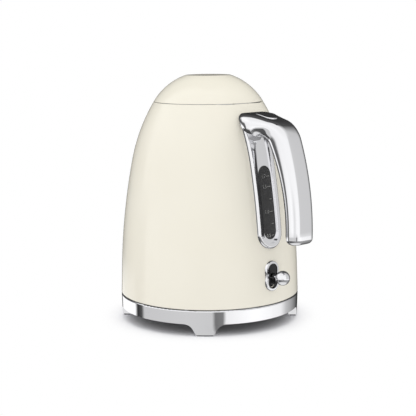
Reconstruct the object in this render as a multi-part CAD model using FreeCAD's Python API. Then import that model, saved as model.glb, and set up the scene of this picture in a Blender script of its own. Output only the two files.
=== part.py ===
import FreeCAD, Part
import math
import os
from FreeCAD import Vector

# Electric kettle on its own base, in millimetres.
# +Z is up, the origin is on the floor on the kettle's axis, and the handle points to +X.

# Body and lid outline: a leaning skirt, two tangent arcs up to the seam, and the lid's arc
height = 243.0
skirt_radius = 89.7
skirt_lean = 1.8
skirt_top_z = 52.7
side_radius = 650.0
shoulder_lean = 11.3
shoulder_radius = 180.0
seam_z = 217.2
seam_gap = 0.5
lid_radius = 60.0
shell_wall = 1.0
hem_width = 5.5
hem_round = 0.9

# Clearances
seat_gap = 0.1
slip_gap = 0.3
running_gap = 0.05

# Base ring and feet
pad_height = 1.2
pad_inset = 1.2
ring_bottom_z = 11.5
ring_top_z = 25.0
ring_draft = 0.7
ring_wall = 3.2
ring_edge_round = 1.2
ledge_z = 15.0
ledge_thickness = 2.0
ledge_width = 4.5
foot_count = 4
foot_first_angle = 45.0
foot_half_width = 8.75
foot_flank_lean = 30.0
foot_fillet = 10.0
foot_depth = 9.0
ring_joint = 0.6

# Base tray, bottom and cord gland
tray_thickness = 3.0
collar_rise = 2.5
collar_width = 3.0
bottom_plate_z = 12.2
bottom_plate_thickness = 2.0
spool_radius = 43.0
spool_wall = 3.0
spool_depth = 7.2
keeper_count = 3
keeper_length = 7.0
keeper_width = 12.0
keeper_thickness = 2.0
base_screw_circle = 60.0
base_screw_count = 4
boss_radius = 5.0
gland_bore_radius = 3.4
gland_wall = 2.2
gland_axis_z = 7.6
gland_length = 10.0

# Screws
screw_radius = 1.5
screw_head_radius = 3.2
screw_head_height = 1.6
screw_tip_room = 1.0

# Power connector
plug_radius = 20.0
plug_top_z = 34.0
plug_edge = 1.5
plug_flange_width = 4.0
plug_flange_thickness = 2.0
plug_seat_rise = 0.5
plug_seat_width = 6.0
plug_floor_z = 18.0
pin_hole_radius = 3.4
groove_inner_radius = 9.0
groove_outer_radius = 13.0
contact_thickness = 0.5
contact_height = 6.0
contact_span = 60.0
contact_step = 120.0
socket_pin_radius = 2.4
socket_ring_wall = 1.6
socket_reach = 13.0
socket_wall = 2.5
socket_play = 1.0

# Kettle bottom, heating and switch control
cover_thickness = 2.0
cover_overlap = 1.6
cover_foot_radius = 70.0
cover_foot_width = 4.0
cover_upstand = 4.0
cover_upstand_wall = 1.6
floor_z = 70.0
floor_skirt = 3.0
stud_circle = 74.0
stud_count = 3
stud_first_angle = 60.0
stud_radius = 3.5
stud_low_z = 32.0
screw_bite = 8.0
spreader_radius = 50.0
spreader_thickness = 3.0
element_circle = 40.0
element_radius = 3.5
element_span = 300.0
terminal_radius = 1.6
control_radius = 30.0
control_top_z = 58.0
control_round = 2.0
control_post_radius = 4.0
control_post_circle = 21.0
control_post_count = 3
control_post_angle = 90.0
steam_tube_circle = 57.0
steam_tube_angle = -25.5
steam_tube_radius = 4.0
steam_tube_wall = 1.0
steam_tube_low_z = 56.0
steam_tube_top_z = 196.0
steam_cup_radius = 10.0
steam_cup_height = 8.0
bimetal_thickness = 0.6
bimetal_rim = 1.0
bimetal_drop = 2.0

# Spout and its filter
spout_reach = 77.0
spout_top_z = 206.5
spout_rise = 2.5
spout_root_half_width = 17.0
spout_root_depth = 25.0
spout_lip_half_width = 6.0
spout_lip_depth = 8.5
spout_wall = 1.2
filter_border = 3.0
filter_thickness = 2.2
filter_rib = 1.6
filter_rib_count = 3
mesh_thickness = 0.4

# Mouth and lid hinge
collar_wall = 2.4
mouth_radius = 41.5
mouth_seat_z = 210.4
mouth_seat_thickness = 2.0
hinge_x = 44.5
hinge_z = 221.5
hinge_open_clear = 0.5
sweep_share = 0.95
knuckle_radius = 2.5
hinge_pin_radius = 1.2
ear_inner_y = 7.6
ear_thickness = 2.6
ear_foot_x = 37.5
ear_half_width = 2.2
lug_thickness = 3.4
lid_wall = 1.2
liner_radius = 48.0
liner_rim_rise = 1.2
liner_low_z = 213.5
liner_thickness = 1.8
lid_boss_circle = 32.0
lid_boss_count = 3
lid_boss_radius = 3.4
tongue_half_width = 3.0
tongue_thickness = 3.0
tongue_low_z = 206.0
spring_wire = 0.8
lid_spring_radius = 2.4
lid_spring_pitch = 1.3
lid_spring_turns = 5

# Handle: outer and inner side lines, each a straight root, a bend and a long grip arc
handle_reach = 134.0
handle_grip_depth = 17.8
handle_tip_z = 100.0
handle_low_z = 89.5
handle_outer_radius = 250.0
handle_inner_radius = 166.0
handle_outer_bend = 27.0
handle_inner_bend = 13.0
handle_outer_bend_lean = 20.2
handle_inner_bend_lean = 29.0
handle_root_slope = 10.2
handle_half_width = 14.0
handle_root_half_width = 17.5
handle_flare_x = 90.0
handle_flare_radius = 160.0
handle_round = 6.5
handle_end_round = 8.0
handle_wall = 2.6
handle_side_wall = 4.5
handle_root_block = 12.0
handle_screw_y = 9.5
handle_screw_z = 197.5
handle_screw_length = 17.0
clamp_half_width = 14.5
clamp_low_z = 193.0
clamp_top_z = 206.0
clamp_x = 56.0

# Lid button and release slider
button_x = 82.0
button_length = 24.0
button_width = 13.0
button_proud = 1.0
button_round = 0.8
button_travel = 3.0
button_gap = 0.35
slider_z = 200.0
slider_thickness = 3.0
slider_half_width = 3.0
slider_pad_half_width = 5.0
slider_pad_length = 10.0
hook_thickness = 3.0
button_spring_radius = 3.0
button_spring_seat_z = 192.0
button_spring_turns = 4

# Water gauge
window_half_width = 8.0
window_low_z = 89.0
window_top_z = 159.0
lens_proud = 0.6
lens_inner_depth = 1.5
lens_flange = 3.2
lens_flange_thickness = 1.5
seal_thickness = 0.6
bezel_half_width = 15.0
bezel_low_z = 80.0
bezel_top_z = 195.5
bezel_rise = 3.4
bezel_floor = 1.3
bezel_rim_width = 5.2
bezel_round = 2.2

# Lever and switch plate
lever_z = 53.5
lever_pivot_inset = 19.0
lever_out = 15.0
lever_ball_radius = 7.0
lever_stem_radius = 2.1
lever_hub_radius = 5.0
lever_hub_half_width = 5.0
lever_toe_length = 11.0
lever_toe_half_height = 2.0
lever_pin_radius = 1.5
bracket_cheek = 3.0
bracket_half_length = 6.5
bracket_web = 3.0
plate_half_width = 8.5
plate_half_height = 14.5
plate_waist = 0.9
plate_waist_radius = 12.0
plate_rise = 2.3
plate_rim = 3.9
plate_round = 1.0
insert_sunk = 0.5
insert_depth = 3.0
insert_flange = 2.6
insert_flange_thickness = 1.4
lever_down = 18.0

# Sizes worked out from the ones above
far = 400.0
outline_overrun = 12.0
shell_bottom_z = ring_top_z + ring_joint
ring_inner_radius = skirt_radius - ring_wall
tray_z = ledge_z + ledge_thickness
tray_top_z = tray_z + tray_thickness
tray_radius = ring_inner_radius - slip_gap
bottom_plate_top_z = bottom_plate_z + bottom_plate_thickness
plug_seat_z = bottom_plate_top_z + plug_seat_rise
socket_ceiling_z = plug_top_z + socket_play
socket_inner_radius = plug_radius + socket_play
socket_outer_radius = socket_inner_radius + socket_wall
cover_z = shell_bottom_z - cover_thickness
hem_radius = skirt_radius - hem_width
floor_under_z = floor_z - shell_wall
spreader_low_z = floor_under_z - spreader_thickness
steam_place = Vector(steam_tube_circle, 0, 0)
steam_place = FreeCAD.Rotation(Vector(0, 0, 1), steam_tube_angle).multVec(steam_place)
bimetal_z = steam_tube_low_z - bimetal_drop
slider_top_z = slider_z + slider_thickness
hook_x = hinge_x - hook_thickness / 2
hook_top_z = tongue_low_z - slip_gap - running_gap


def normal(lean):
    """Outward direction in the XZ plane of a wall that leans in by this many degrees."""
    return Vector(math.cos(math.radians(lean)), 0, math.sin(math.radians(lean)))


skirt_head = Vector(skirt_radius, 0, shell_bottom_z)
skirt_rise = skirt_top_z - shell_bottom_z
skirt_head += Vector(-skirt_rise * math.tan(math.radians(skirt_lean)), 0, skirt_rise)
side_centre = skirt_head - normal(skirt_lean) * side_radius
shoulder_centre = side_centre + normal(shoulder_lean) * (side_radius - shoulder_radius)
seam_lean = math.degrees(math.asin((seam_z - shoulder_centre.z) / shoulder_radius))
seam_point = shoulder_centre + normal(seam_lean) * shoulder_radius
lid_centre = seam_point - normal(seam_lean) * lid_radius
lid_edge_z = seam_z + seam_gap / 2
shell_top_z = seam_z - seam_gap / 2


# General shapes
def arc(centre, radius, lean_a, lean_b):
    """Arc in the XZ plane between two leans."""
    middle = (lean_a + lean_b) / 2
    ends = [centre + normal(lean) * radius for lean in (lean_a, middle, lean_b)]
    return Part.Arc(*ends).toShape()


def line(start, end):
    return Part.LineSegment(start, end).toShape()


def revolved(edges):
    return Part.Face(Part.Wire(edges)).revolve(Vector(), Vector(0, 0, 1), 360)


def turned(points):
    """Solid of revolution about Z through (radius, z) corners."""
    corners = [Vector(radius, 0, z) for radius, z in points]
    return Part.Face(Part.makePolygon(corners + corners[:1])).revolve(Vector(), Vector(0, 0, 1), 360)


def tube(inner, outer, low, high):
    return turned([(inner, low), (outer, low), (outer, high), (inner, high)])


def rod(radius, low, high, x=0.0, y=0.0):
    return Part.makeCylinder(radius, high - low, Vector(x, y, low))


def cross_rod(radius, start_y, end_y, x, z):
    return Part.makeCylinder(radius, end_y - start_y, Vector(x, start_y, z), Vector(0, 1, 0))


def long_rod(radius, start_x, end_x, y, z):
    return Part.makeCylinder(radius, end_x - start_x, Vector(start_x, y, z), Vector(1, 0, 0))


def block(x_low, x_high, half_width, low, high):
    return Part.makeBox(x_high - x_low, 2 * half_width, high - low, Vector(x_low, -half_width, low))


def slab(low, high):
    return block(-far, far, far, low, high)


def turn(shape, angle):
    return shape.rotated(Vector(), Vector(0, 0, 1), angle)


def pattern(shape, count, first_angle=0.0):
    return [turn(shape, first_angle + 360.0 * i / count) for i in range(count)]


def stadium(half_width, low, high):
    """Upright rounded slot, as a prism from the axis out along +X."""
    top = high - half_width
    bottom = low + half_width
    corners = [(-half_width, bottom), (-half_width, top), (half_width, top), (half_width, bottom)]
    left_low, left_top, right_top, right_low = [Vector(0, y, z) for y, z in corners]
    edges = [
        line(left_low, left_top),
        Part.Arc(left_top, Vector(0, 0, high), right_top).toShape(),
        line(right_top, right_low),
        Part.Arc(right_low, Vector(0, 0, low), left_low).toShape(),
    ]
    return Part.Face(Part.Wire(edges)).extrude(Vector(far, 0, 0))


def plan_slot(x, length, width, low, high):
    """Flat rounded slot that runs along X, as an upright prism."""
    half = (length - width) / 2
    slot = block(x - half, x + half, width / 2, low, high)
    ends = [rod(width / 2, low, high, end) for end in (x - half, x + half)]
    return slot.fuse(ends).removeSplitter()


def rounded(shape, radius, wanted):
    """Fillet the edges that pass the test."""
    return shape.makeFillet(radius, [edge for edge in shape.Edges if wanted(edge)])


def level(edge, z):
    box = edge.BoundBox
    return abs(box.ZMin - z) < 1e-4 and abs(box.ZMax - z) < 1e-4


def screw(low, length):
    """Screw that points up, with its head below the given height."""
    head = rod(screw_head_radius, low - screw_head_height, low)
    head = rounded(head, screw_head_height / 2, lambda edge: level(edge, low - screw_head_height))
    return head.fuse(rod(screw_radius, low, low + length)).removeSplitter()


def body_form(inset, low, high):
    """Solid inside the body's surface, moved in by the inset, between two heights."""
    reach = skirt_rise + far
    slope = math.tan(math.radians(skirt_lean))
    bend = skirt_head - normal(skirt_lean) * inset
    foot = bend + Vector(reach * slope, 0, -reach)
    crown_lean = seam_lean + outline_overrun
    crown = shoulder_centre + normal(crown_lean) * (shoulder_radius - inset)
    edges = [
        line(Vector(0, 0, foot.z), foot),
        line(foot, bend),
        arc(side_centre, side_radius - inset, skirt_lean, shoulder_lean),
        arc(shoulder_centre, shoulder_radius - inset, shoulder_lean, crown_lean),
        line(crown, Vector(0, 0, crown.z)),
        line(Vector(0, 0, crown.z), Vector(0, 0, foot.z)),
    ]
    return revolved(edges).common(slab(low, high))


def body_layer(outer_inset, inner_inset, outline):
    """Piece of the body's wall between two insets, cut to a prism."""
    span = outline.BoundBox
    outer = body_form(outer_inset, span.ZMin, span.ZMax)
    return outer.cut(body_form(inner_inset, span.ZMin - 1, span.ZMax + 1)).common(outline)


def body_reach(z, inset=0.0):
    """Radius of the body's surface at a height, moved in by the inset."""
    if z < skirt_top_z:
        return skirt_head.x + (skirt_top_z - z) * math.tan(math.radians(skirt_lean)) - inset
    centre, radius = side_centre, side_radius - inset
    if z > shoulder_centre.z + shoulder_radius * math.sin(math.radians(shoulder_lean)):
        centre, radius = shoulder_centre, shoulder_radius - inset
    return centre.x + math.sqrt(radius ** 2 - (z - centre.z) ** 2)


def lid_form(inset, low):
    """Solid inside the lid's dome, moved in by the inset, above a height."""
    top = height - inset
    crown_lean = math.degrees(math.asin((top - lid_centre.z) / (lid_radius - inset)))
    foot_lean = seam_lean - outline_overrun
    foot = lid_centre + normal(foot_lean) * (lid_radius - inset)
    crown = lid_centre + normal(crown_lean) * (lid_radius - inset)
    edges = [
        line(Vector(0, 0, foot.z), foot),
        arc(lid_centre, lid_radius - inset, foot_lean, crown_lean),
        line(crown, Vector(0, 0, top)),
        line(Vector(0, 0, top), Vector(0, 0, foot.z)),
    ]
    return revolved(edges).common(slab(low, far))


# Wound springs
def arc_from(start, direction, end):
    """Arc that leaves the start along a direction and reaches the end."""
    chord = end - start
    along = Vector(chord).normalize()
    swing = along.getAngle(direction)
    side = (direction - along * direction.dot(along)).normalize()
    middle = start + chord * 0.5 + side * (chord.Length / 2 * math.tan(swing / 2))
    return Part.Arc(start, middle, end).toShape()


def coil(radius, pitch, turns, wire):
    """Helical spring on Z from z = 0, wound along biarcs of a quarter turn each."""
    steps = 4 * turns
    rise = pitch / 4
    climb = math.atan2(pitch, 2 * math.pi * radius)
    points = []
    ways = []
    for i in range(steps + 1):
        angle = math.pi / 2 * i
        points.append(Vector(radius * math.cos(angle), radius * math.sin(angle), rise * i + wire / 2))
        flat = math.cos(climb)
        ways.append(Vector(-math.sin(angle) * flat, math.cos(angle) * flat, math.sin(climb)))
    edges = []
    for i in range(steps):
        chord = points[i + 1] - points[i]
        spread = 2 * (1 - ways[i].dot(ways[i + 1]))
        lean = chord.dot(ways[i] + ways[i + 1])
        reach = (-lean + math.sqrt(lean ** 2 + spread * chord.dot(chord))) / spread
        joint = (points[i] + points[i + 1] + (ways[i] - ways[i + 1]) * reach) * 0.5
        edges.append(arc_from(points[i], ways[i], joint))
        edges.append(arc_from(points[i + 1], ways[i + 1] * -1, joint))
    path = Part.Wire(Part.__sortEdges__(edges))
    section = Part.Wire(Part.makeCircle(wire / 2, points[0], ways[0]))
    print("coil least gap to itself", round(pitch * math.cos(climb) - wire, 3))
    return path.makePipeShell([section], True, False)


# Base
def ring_radius(z):
    return skirt_radius - ring_draft * (ring_top_z - z) / (ring_top_z - pad_height)


def foot_prism(half_width, top):
    """Foot outline with slanted flanks and hollow fillets, as a prism along +X."""
    rise = ring_bottom_z - pad_height
    lean = math.radians(foot_flank_lean)
    corner = half_width + rise * math.tan(lean)
    half_bend = (math.pi / 2 - lean) / 2
    tangent = foot_fillet * math.tan(half_bend)
    flank = (corner - tangent * math.sin(lean), ring_bottom_z - tangent * math.cos(lean))
    flare = (corner + tangent, ring_bottom_z)
    middle_drop = foot_fillet * (1 - math.cos(half_bend))
    middle = (flare[0] - foot_fillet * math.sin(half_bend), ring_bottom_z - middle_drop)
    edges = []
    for side in (1, -1):
        toe, heel, bend, tip, head = [
            Vector(0, side * y, z)
            for y, z in ((half_width, pad_height), flank, middle, flare, (flare[0], top))
        ]
        edges += [line(toe, heel), Part.Arc(heel, bend, tip).toShape(), line(tip, head)]
    edges.append(line(Vector(0, -half_width, pad_height), Vector(0, half_width, pad_height)))
    edges.append(line(Vector(0, -flare[0], top), Vector(0, flare[0], top)))
    return Part.Face(Part.Wire(Part.__sortEdges__(edges))).extrude(Vector(far, 0, 0))


def base_ring():
    wall = turned([
        (ring_inner_radius, ring_bottom_z),
        (ring_radius(ring_bottom_z), ring_bottom_z),
        (ring_radius(ring_top_z), ring_top_z),
        (ring_inner_radius, ring_top_z),
    ])
    rims = [edge for edge in wall.Edges if level(edge, ring_top_z)]
    wall = wall.makeFillet(ring_edge_round, [max(rims, key=lambda edge: edge.BoundBox.XMax)])
    ledge = tube(ring_inner_radius - ledge_width, ring_inner_radius + ring_wall / 2, ledge_z, tray_z)
    top = ring_bottom_z + (bottom_plate_z - ring_bottom_z) / 2
    leg = turned([
        (skirt_radius - foot_depth, pad_height),
        (ring_radius(pad_height), pad_height),
        (ring_radius(top), top),
        (skirt_radius - foot_depth, top),
    ])
    foot = leg.common(foot_prism(foot_half_width, top))
    return wall.fuse([ledge] + pattern(foot, foot_count, foot_first_angle)).removeSplitter()


def foot_pads():
    outer = ring_radius(pad_height) - pad_inset
    inner = skirt_radius - foot_depth + pad_inset
    half_width = foot_half_width - pad_inset
    pad = tube(inner, outer, 0, pad_height).common(block(0, far, half_width, 0, pad_height))
    return pattern(pad, foot_count, foot_first_angle)


def base_screw_places(shape):
    return pattern(shape.translated(Vector(base_screw_circle, 0, 0)), base_screw_count, foot_first_angle)


def base_tray():
    hole = plug_radius + slip_gap
    collar_inner = hole + collar_width
    tray = turned([
        (hole, tray_z),
        (tray_radius, tray_z),
        (tray_radius, tray_top_z),
        (collar_inner + collar_width, tray_top_z),
        (collar_inner + collar_width / 2, tray_top_z + collar_rise),
        (hole, tray_top_z + collar_rise),
    ])
    bosses = base_screw_places(rod(boss_radius, bottom_plate_top_z, tray_z))
    bore = rod(screw_radius + running_gap, bottom_plate_top_z, tray_top_z - tray_thickness / 3)
    return tray.fuse(bosses).cut(base_screw_places(bore)).removeSplitter()


def base_bottom():
    plate = turned([
        (0, bottom_plate_z),
        (tray_radius, bottom_plate_z),
        (tray_radius, bottom_plate_top_z),
        (0, bottom_plate_top_z),
    ])
    rim_inner = ring_inner_radius - ledge_width + slip_gap
    rim = tube(rim_inner, tray_radius - slip_gap, bottom_plate_top_z, ledge_z)
    seat = tube(plug_radius - plug_seat_width, plug_radius + slip_gap, bottom_plate_top_z, plug_seat_z)
    spool_low_z = bottom_plate_z - spool_depth
    spool = tube(spool_radius - spool_wall, spool_radius, spool_low_z, bottom_plate_z)
    keeper = block(spool_radius - spool_wall / 2, spool_radius + keeper_length, keeper_width / 2, spool_low_z,
                   spool_low_z + keeper_thickness)
    keepers = pattern(keeper, keeper_count, 180.0 / keeper_count)
    hole = rod(screw_radius + slip_gap, bottom_plate_z, bottom_plate_top_z)
    bottom = plate.fuse([rim, seat, spool] + keepers)
    return bottom.cut(base_screw_places(hole)).removeSplitter()


def base_screws():
    return base_screw_places(screw(bottom_plate_z, tray_top_z - tray_thickness / 2 - bottom_plate_z))


def cord_gland():
    outer = gland_bore_radius + gland_wall
    start_x = spool_radius + seat_gap
    end_x = start_x + gland_length
    bush = long_rod(outer, start_x, end_x, 0, gland_axis_z)
    bush = bush.fuse(block(start_x, end_x, outer, gland_axis_z, bottom_plate_z)).removeSplitter()
    bush = bush.common(slab(0, bottom_plate_z))
    return bush.cut(long_rod(gland_bore_radius, start_x, end_x, 0, gland_axis_z))


# Power connector
def base_connector():
    flange_top_z = plug_seat_z + plug_flange_thickness
    plug = turned([
        (0, plug_seat_z),
        (plug_radius + plug_flange_width, plug_seat_z),
        (plug_radius + plug_flange_width, flange_top_z),
        (plug_radius, flange_top_z),
        (plug_radius, plug_top_z - plug_edge),
        (plug_radius - plug_edge, plug_top_z),
        (0, plug_top_z),
    ])
    groove = tube(groove_inner_radius, groove_outer_radius, plug_floor_z, plug_top_z)
    return plug.cut([groove, rod(pin_hole_radius, plug_floor_z, plug_top_z)])


def base_contacts():
    """Three leaf contacts: one in the middle hole and one on each wall of the groove."""
    foot = Vector(0, 0, plug_floor_z)
    wedge = Part.makeCylinder(plug_radius, contact_height, foot, Vector(0, 0, 1), contact_span)
    outers = (pin_hole_radius, groove_inner_radius + contact_thickness, groove_outer_radius)
    leaves = []
    for i, outer in enumerate(outers):
        leaf = tube(outer - contact_thickness, outer, plug_floor_z, plug_floor_z + contact_height)
        leaves.append(leaf.common(turn(wedge, contact_step * i)))
    return leaves


def socket_pin():
    low = socket_ceiling_z - socket_reach
    pin = rod(socket_pin_radius, low, socket_ceiling_z)
    return rounded(pin, socket_pin_radius / 2, lambda edge: level(edge, low))


def socket_rings():
    middle = (groove_inner_radius + groove_outer_radius) / 2
    return tube(middle - socket_ring_wall / 2, middle + socket_ring_wall / 2,
                socket_ceiling_z - socket_reach, socket_ceiling_z)


# Kettle bottom
def stud_places(shape):
    return pattern(shape.translated(Vector(stud_circle, 0, 0)), stud_count, stud_first_angle)


def bottom_cover():
    hole = socket_outer_radius + slip_gap
    cover = tube(hole, hem_radius + cover_overlap, cover_z, shell_bottom_z)
    upstand = tube(hem_radius - slip_gap - cover_upstand_wall, hem_radius - slip_gap, shell_bottom_z,
                   shell_bottom_z + cover_upstand)
    foot = tube(cover_foot_radius - cover_foot_width, cover_foot_radius, tray_top_z, cover_z)
    bosses = stud_places(rod(boss_radius, shell_bottom_z, stud_low_z))
    holes = stud_places(rod(screw_radius + slip_gap, cover_z, stud_low_z))
    return cover.fuse([upstand, foot] + bosses).cut(holes).removeSplitter()


def bottom_screws():
    return stud_places(screw(cover_z, stud_low_z + screw_bite - cover_z))


def steam_rod(radius, low, high):
    return rod(radius, low, high, steam_place.x, steam_place.y)


def vessel_floor():
    inset = shell_wall + seat_gap
    dish = body_form(inset, floor_z - floor_skirt, floor_z)
    dish = dish.cut(body_form(inset + shell_wall, floor_z - floor_skirt - 1, floor_under_z))
    studs = stud_places(rod(stud_radius, stud_low_z, floor_under_z))
    bores = stud_places(rod(screw_radius + running_gap, stud_low_z, stud_low_z + screw_bite + screw_tip_room))
    pipe = steam_rod(steam_tube_radius + seat_gap, floor_under_z, floor_z)
    return dish.fuse(studs).cut(bores + [pipe]).removeSplitter()


def heat_spreader():
    disc = rod(spreader_radius, spreader_low_z, floor_under_z)
    return rounded(disc, spreader_thickness / 3, lambda edge: level(edge, spreader_low_z))


def heating_element():
    """Open ring of sheathed tube under the spreader, with a terminal pin at each end."""
    z = spreader_low_z - element_radius - seat_gap
    section = Part.makeCircle(element_radius, Vector(element_circle, 0, z), Vector(0, 1, 0))
    bend = Part.Face(Part.Wire(section)).revolve(Vector(), Vector(0, 0, 1), element_span)
    end = Vector(element_circle, 0, z)
    pins = []
    for angle, way in ((0.0, -1), (element_span, 1)):
        pin = Part.makeCylinder(terminal_radius, 4 * terminal_radius, end, Vector(0, way, 0))
        pins.append(turn(pin, angle))
    return turn(bend.fuse(pins).removeSplitter(), 180.0 + (360.0 - element_span) / 2)


def control_unit():
    """Switch block with the power socket under it and an arm to the steam cup."""
    drum = rod(control_radius, socket_ceiling_z, control_top_z)
    drum = rounded(drum, control_round, lambda edge: level(edge, control_top_z))
    skirt = tube(socket_inner_radius, socket_outer_radius, cover_z, socket_ceiling_z)
    post = rod(control_post_radius, socket_ceiling_z, spreader_low_z, control_post_circle)
    cup_low_z = bimetal_z - steam_cup_height
    cup_floor_z = bimetal_z - bimetal_rim
    cup = steam_rod(steam_cup_radius, cup_low_z, bimetal_z)
    arm = block(0, steam_tube_circle, steam_cup_radius / 2, cup_low_z, cup_floor_z)
    parts = [skirt, cup, turn(arm, steam_tube_angle)]
    parts += pattern(post, control_post_count, control_post_angle)
    hollow = steam_rod(steam_cup_radius - 2 * bimetal_rim, cup_floor_z, bimetal_z)
    return drum.fuse(parts).cut(hollow).removeSplitter()


def bimetal_disc():
    return steam_rod(steam_cup_radius - bimetal_rim, bimetal_z, bimetal_z + bimetal_thickness)


def steam_tube():
    pipe = steam_rod(steam_tube_radius, steam_tube_low_z, steam_tube_top_z)
    return pipe.cut(steam_rod(steam_tube_radius - steam_tube_wall, steam_tube_low_z, steam_tube_top_z))


# Spout
def spout_section(x, top, depth, half_width):
    """Beak section across X: flat on top, with a round keel."""
    left = Vector(-x, -half_width, top)
    right = Vector(-x, half_width, top)
    return Part.Wire([line(left, right), Part.Arc(right, Vector(-x, 0, top - depth), left).toShape()])


def spout_loft(inset):
    """Beak from the vessel's wall to the lip, made smaller all round by the inset."""
    root_x = body_reach(spout_top_z - spout_root_depth) - spout_root_depth
    length = spout_reach - root_x
    sections = []
    for share in (0.0, 1.0 + inset / length):
        half_width = spout_root_half_width + (spout_lip_half_width - spout_root_half_width) * share
        depth = spout_root_depth + (spout_lip_depth - spout_root_depth) * share
        top = spout_top_z + spout_rise * share
        x = root_x + length * share
        sections.append(spout_section(x, top - inset, depth - 2 * inset, half_width - inset))
    return Part.makeLoft(sections, True, True)


def spout():
    beak = spout_loft(0.0).cut(spout_loft(spout_wall))
    return beak.cut(body_form(-seat_gap, shell_bottom_z, seam_z))


def filter_window(border):
    """Opening in front of the spout, as a prism along -X."""
    half_width = spout_root_half_width + border
    low = spout_top_z - spout_root_depth - border
    return turn(block(0, far, half_width, low, spout_top_z + border / 2), 180.0)


def filter_frame():
    outline = filter_window(filter_border)
    inset = shell_wall + seat_gap
    frame = body_layer(inset, inset + filter_thickness, outline).cut(filter_window(0.0))
    pitch = 2 * spout_root_half_width / (filter_rib_count + 1)
    span = filter_window(filter_border / 2).BoundBox
    for i in range(filter_rib_count):
        y = (i + 1) * pitch - spout_root_half_width
        rib = Part.makeBox(far, filter_rib, span.ZLength, Vector(-far, y - filter_rib / 2, span.ZMin))
        inner = body_layer(inset + filter_thickness / 2, inset + filter_thickness, rib)
        frame = frame.fuse(inner)
    return frame.removeSplitter()


def filter_mesh():
    inset = shell_wall + seat_gap + filter_thickness / 2 - mesh_thickness
    return body_layer(inset, inset + mesh_thickness, filter_window(-seat_gap))


# Mouth and lid hinge
def lid_sweep(clearance):
    """Barrel about the hinge that the lid's rear edge passes through as it opens."""
    edge_radius = body_reach(lid_edge_z)
    drop = hinge_z - lid_edge_z
    half_width = sweep_share * math.sqrt(edge_radius ** 2 - hinge_x ** 2)
    middle = math.hypot(edge_radius - hinge_x, drop) + clearance
    end = math.hypot(math.sqrt(edge_radius ** 2 - half_width ** 2) - hinge_x, drop) + clearance
    axis_low, axis_high = [Vector(hinge_x, y, hinge_z) for y in (-half_width, half_width)]
    low, high = [point - Vector(0, 0, end) for point in (axis_low, axis_high)]
    bulge = Part.Arc(low, Vector(hinge_x, 0, hinge_z - middle), high).toShape()
    edges = [line(axis_low, low), bulge, line(high, axis_high), line(axis_high, axis_low)]
    return Part.Face(Part.Wire(edges)).revolve(axis_low, Vector(0, 1, 0), 360)


def hinge_arm(start_y, thickness, foot_x, foot_z, foot_half_width):
    """Flat arm from the hinge eye down to its foot."""
    eye = Vector(hinge_x, start_y, hinge_z)
    foot = Vector(foot_x, start_y, foot_z)
    way = (eye - foot).normalize()
    side = Vector(-way.z, 0, way.x)
    corners = [eye + side * knuckle_radius, foot + side * foot_half_width,
               foot - side * foot_half_width, eye - side * knuckle_radius]
    arm = Part.Face(Part.makePolygon(corners + corners[:1])).extrude(Vector(0, thickness, 0))
    return arm.fuse(cross_rod(knuckle_radius, start_y, start_y + thickness, hinge_x, hinge_z))


def mouth_collar():
    inset = shell_wall + seat_gap
    low = mouth_seat_z - mouth_seat_thickness
    outer = body_form(inset, low, shell_top_z)
    inner = body_form(inset + collar_wall, mouth_seat_z, far)
    collar = outer.cut([inner, rod(mouth_radius, low, mouth_seat_z)])
    collar = collar.cut(lid_sweep(hinge_open_clear))
    shelf_x = ear_foot_x - 2 * ear_half_width
    shelf = block(shelf_x, mouth_radius, ear_inner_y + ear_thickness, low, mouth_seat_z)
    shelf = shelf.common(rod(mouth_radius + collar_wall, low, mouth_seat_z))
    ears = [hinge_arm(y, ear_thickness, ear_foot_x, low + mouth_seat_thickness / 2, ear_half_width)
            for y in (ear_inner_y, -ear_inner_y - ear_thickness)]
    ears = [ear.common(slab(low, far)) for ear in ears]
    collar = collar.fuse([shelf] + ears)
    reach = hinge_z - tongue_low_z + tongue_thickness
    path_half_width = tongue_half_width + 3 * slip_gap
    path = cross_rod(reach, -path_half_width, path_half_width, hinge_x, hinge_z)
    pin = cross_rod(hinge_pin_radius + running_gap, -far, far, hinge_x, hinge_z)
    return collar.cut([path, pin]).removeSplitter()


def hinge_pin():
    end = ear_inner_y + ear_thickness
    return cross_rod(hinge_pin_radius, -end, end, hinge_x, hinge_z)


def lid_spring():
    spring = coil(lid_spring_radius, lid_spring_pitch, lid_spring_turns, spring_wire)
    spring = spring.rotated(Vector(), Vector(1, 0, 0), -90)
    length = lid_spring_pitch * lid_spring_turns + spring_wire
    return spring.translated(Vector(hinge_x, -length / 2, hinge_z))


# Lid
def lid_boss_places(shape):
    return pattern(shape.translated(Vector(lid_boss_circle, 0, 0)), lid_boss_count, 180.0 / lid_boss_count)


def lid_cap():
    dome = lid_form(0.0, lid_edge_z).cut(lid_form(lid_wall, shell_top_z))
    low = liner_low_z + liner_thickness
    inside = lid_form(lid_wall / 2, low)
    bosses = [boss.common(inside) for boss in lid_boss_places(rod(lid_boss_radius, low, height))]
    bores = lid_boss_places(rod(screw_radius + running_gap, low, low + screw_bite + screw_tip_room))
    return dome.fuse(bosses).cut(bores).removeSplitter()


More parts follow.
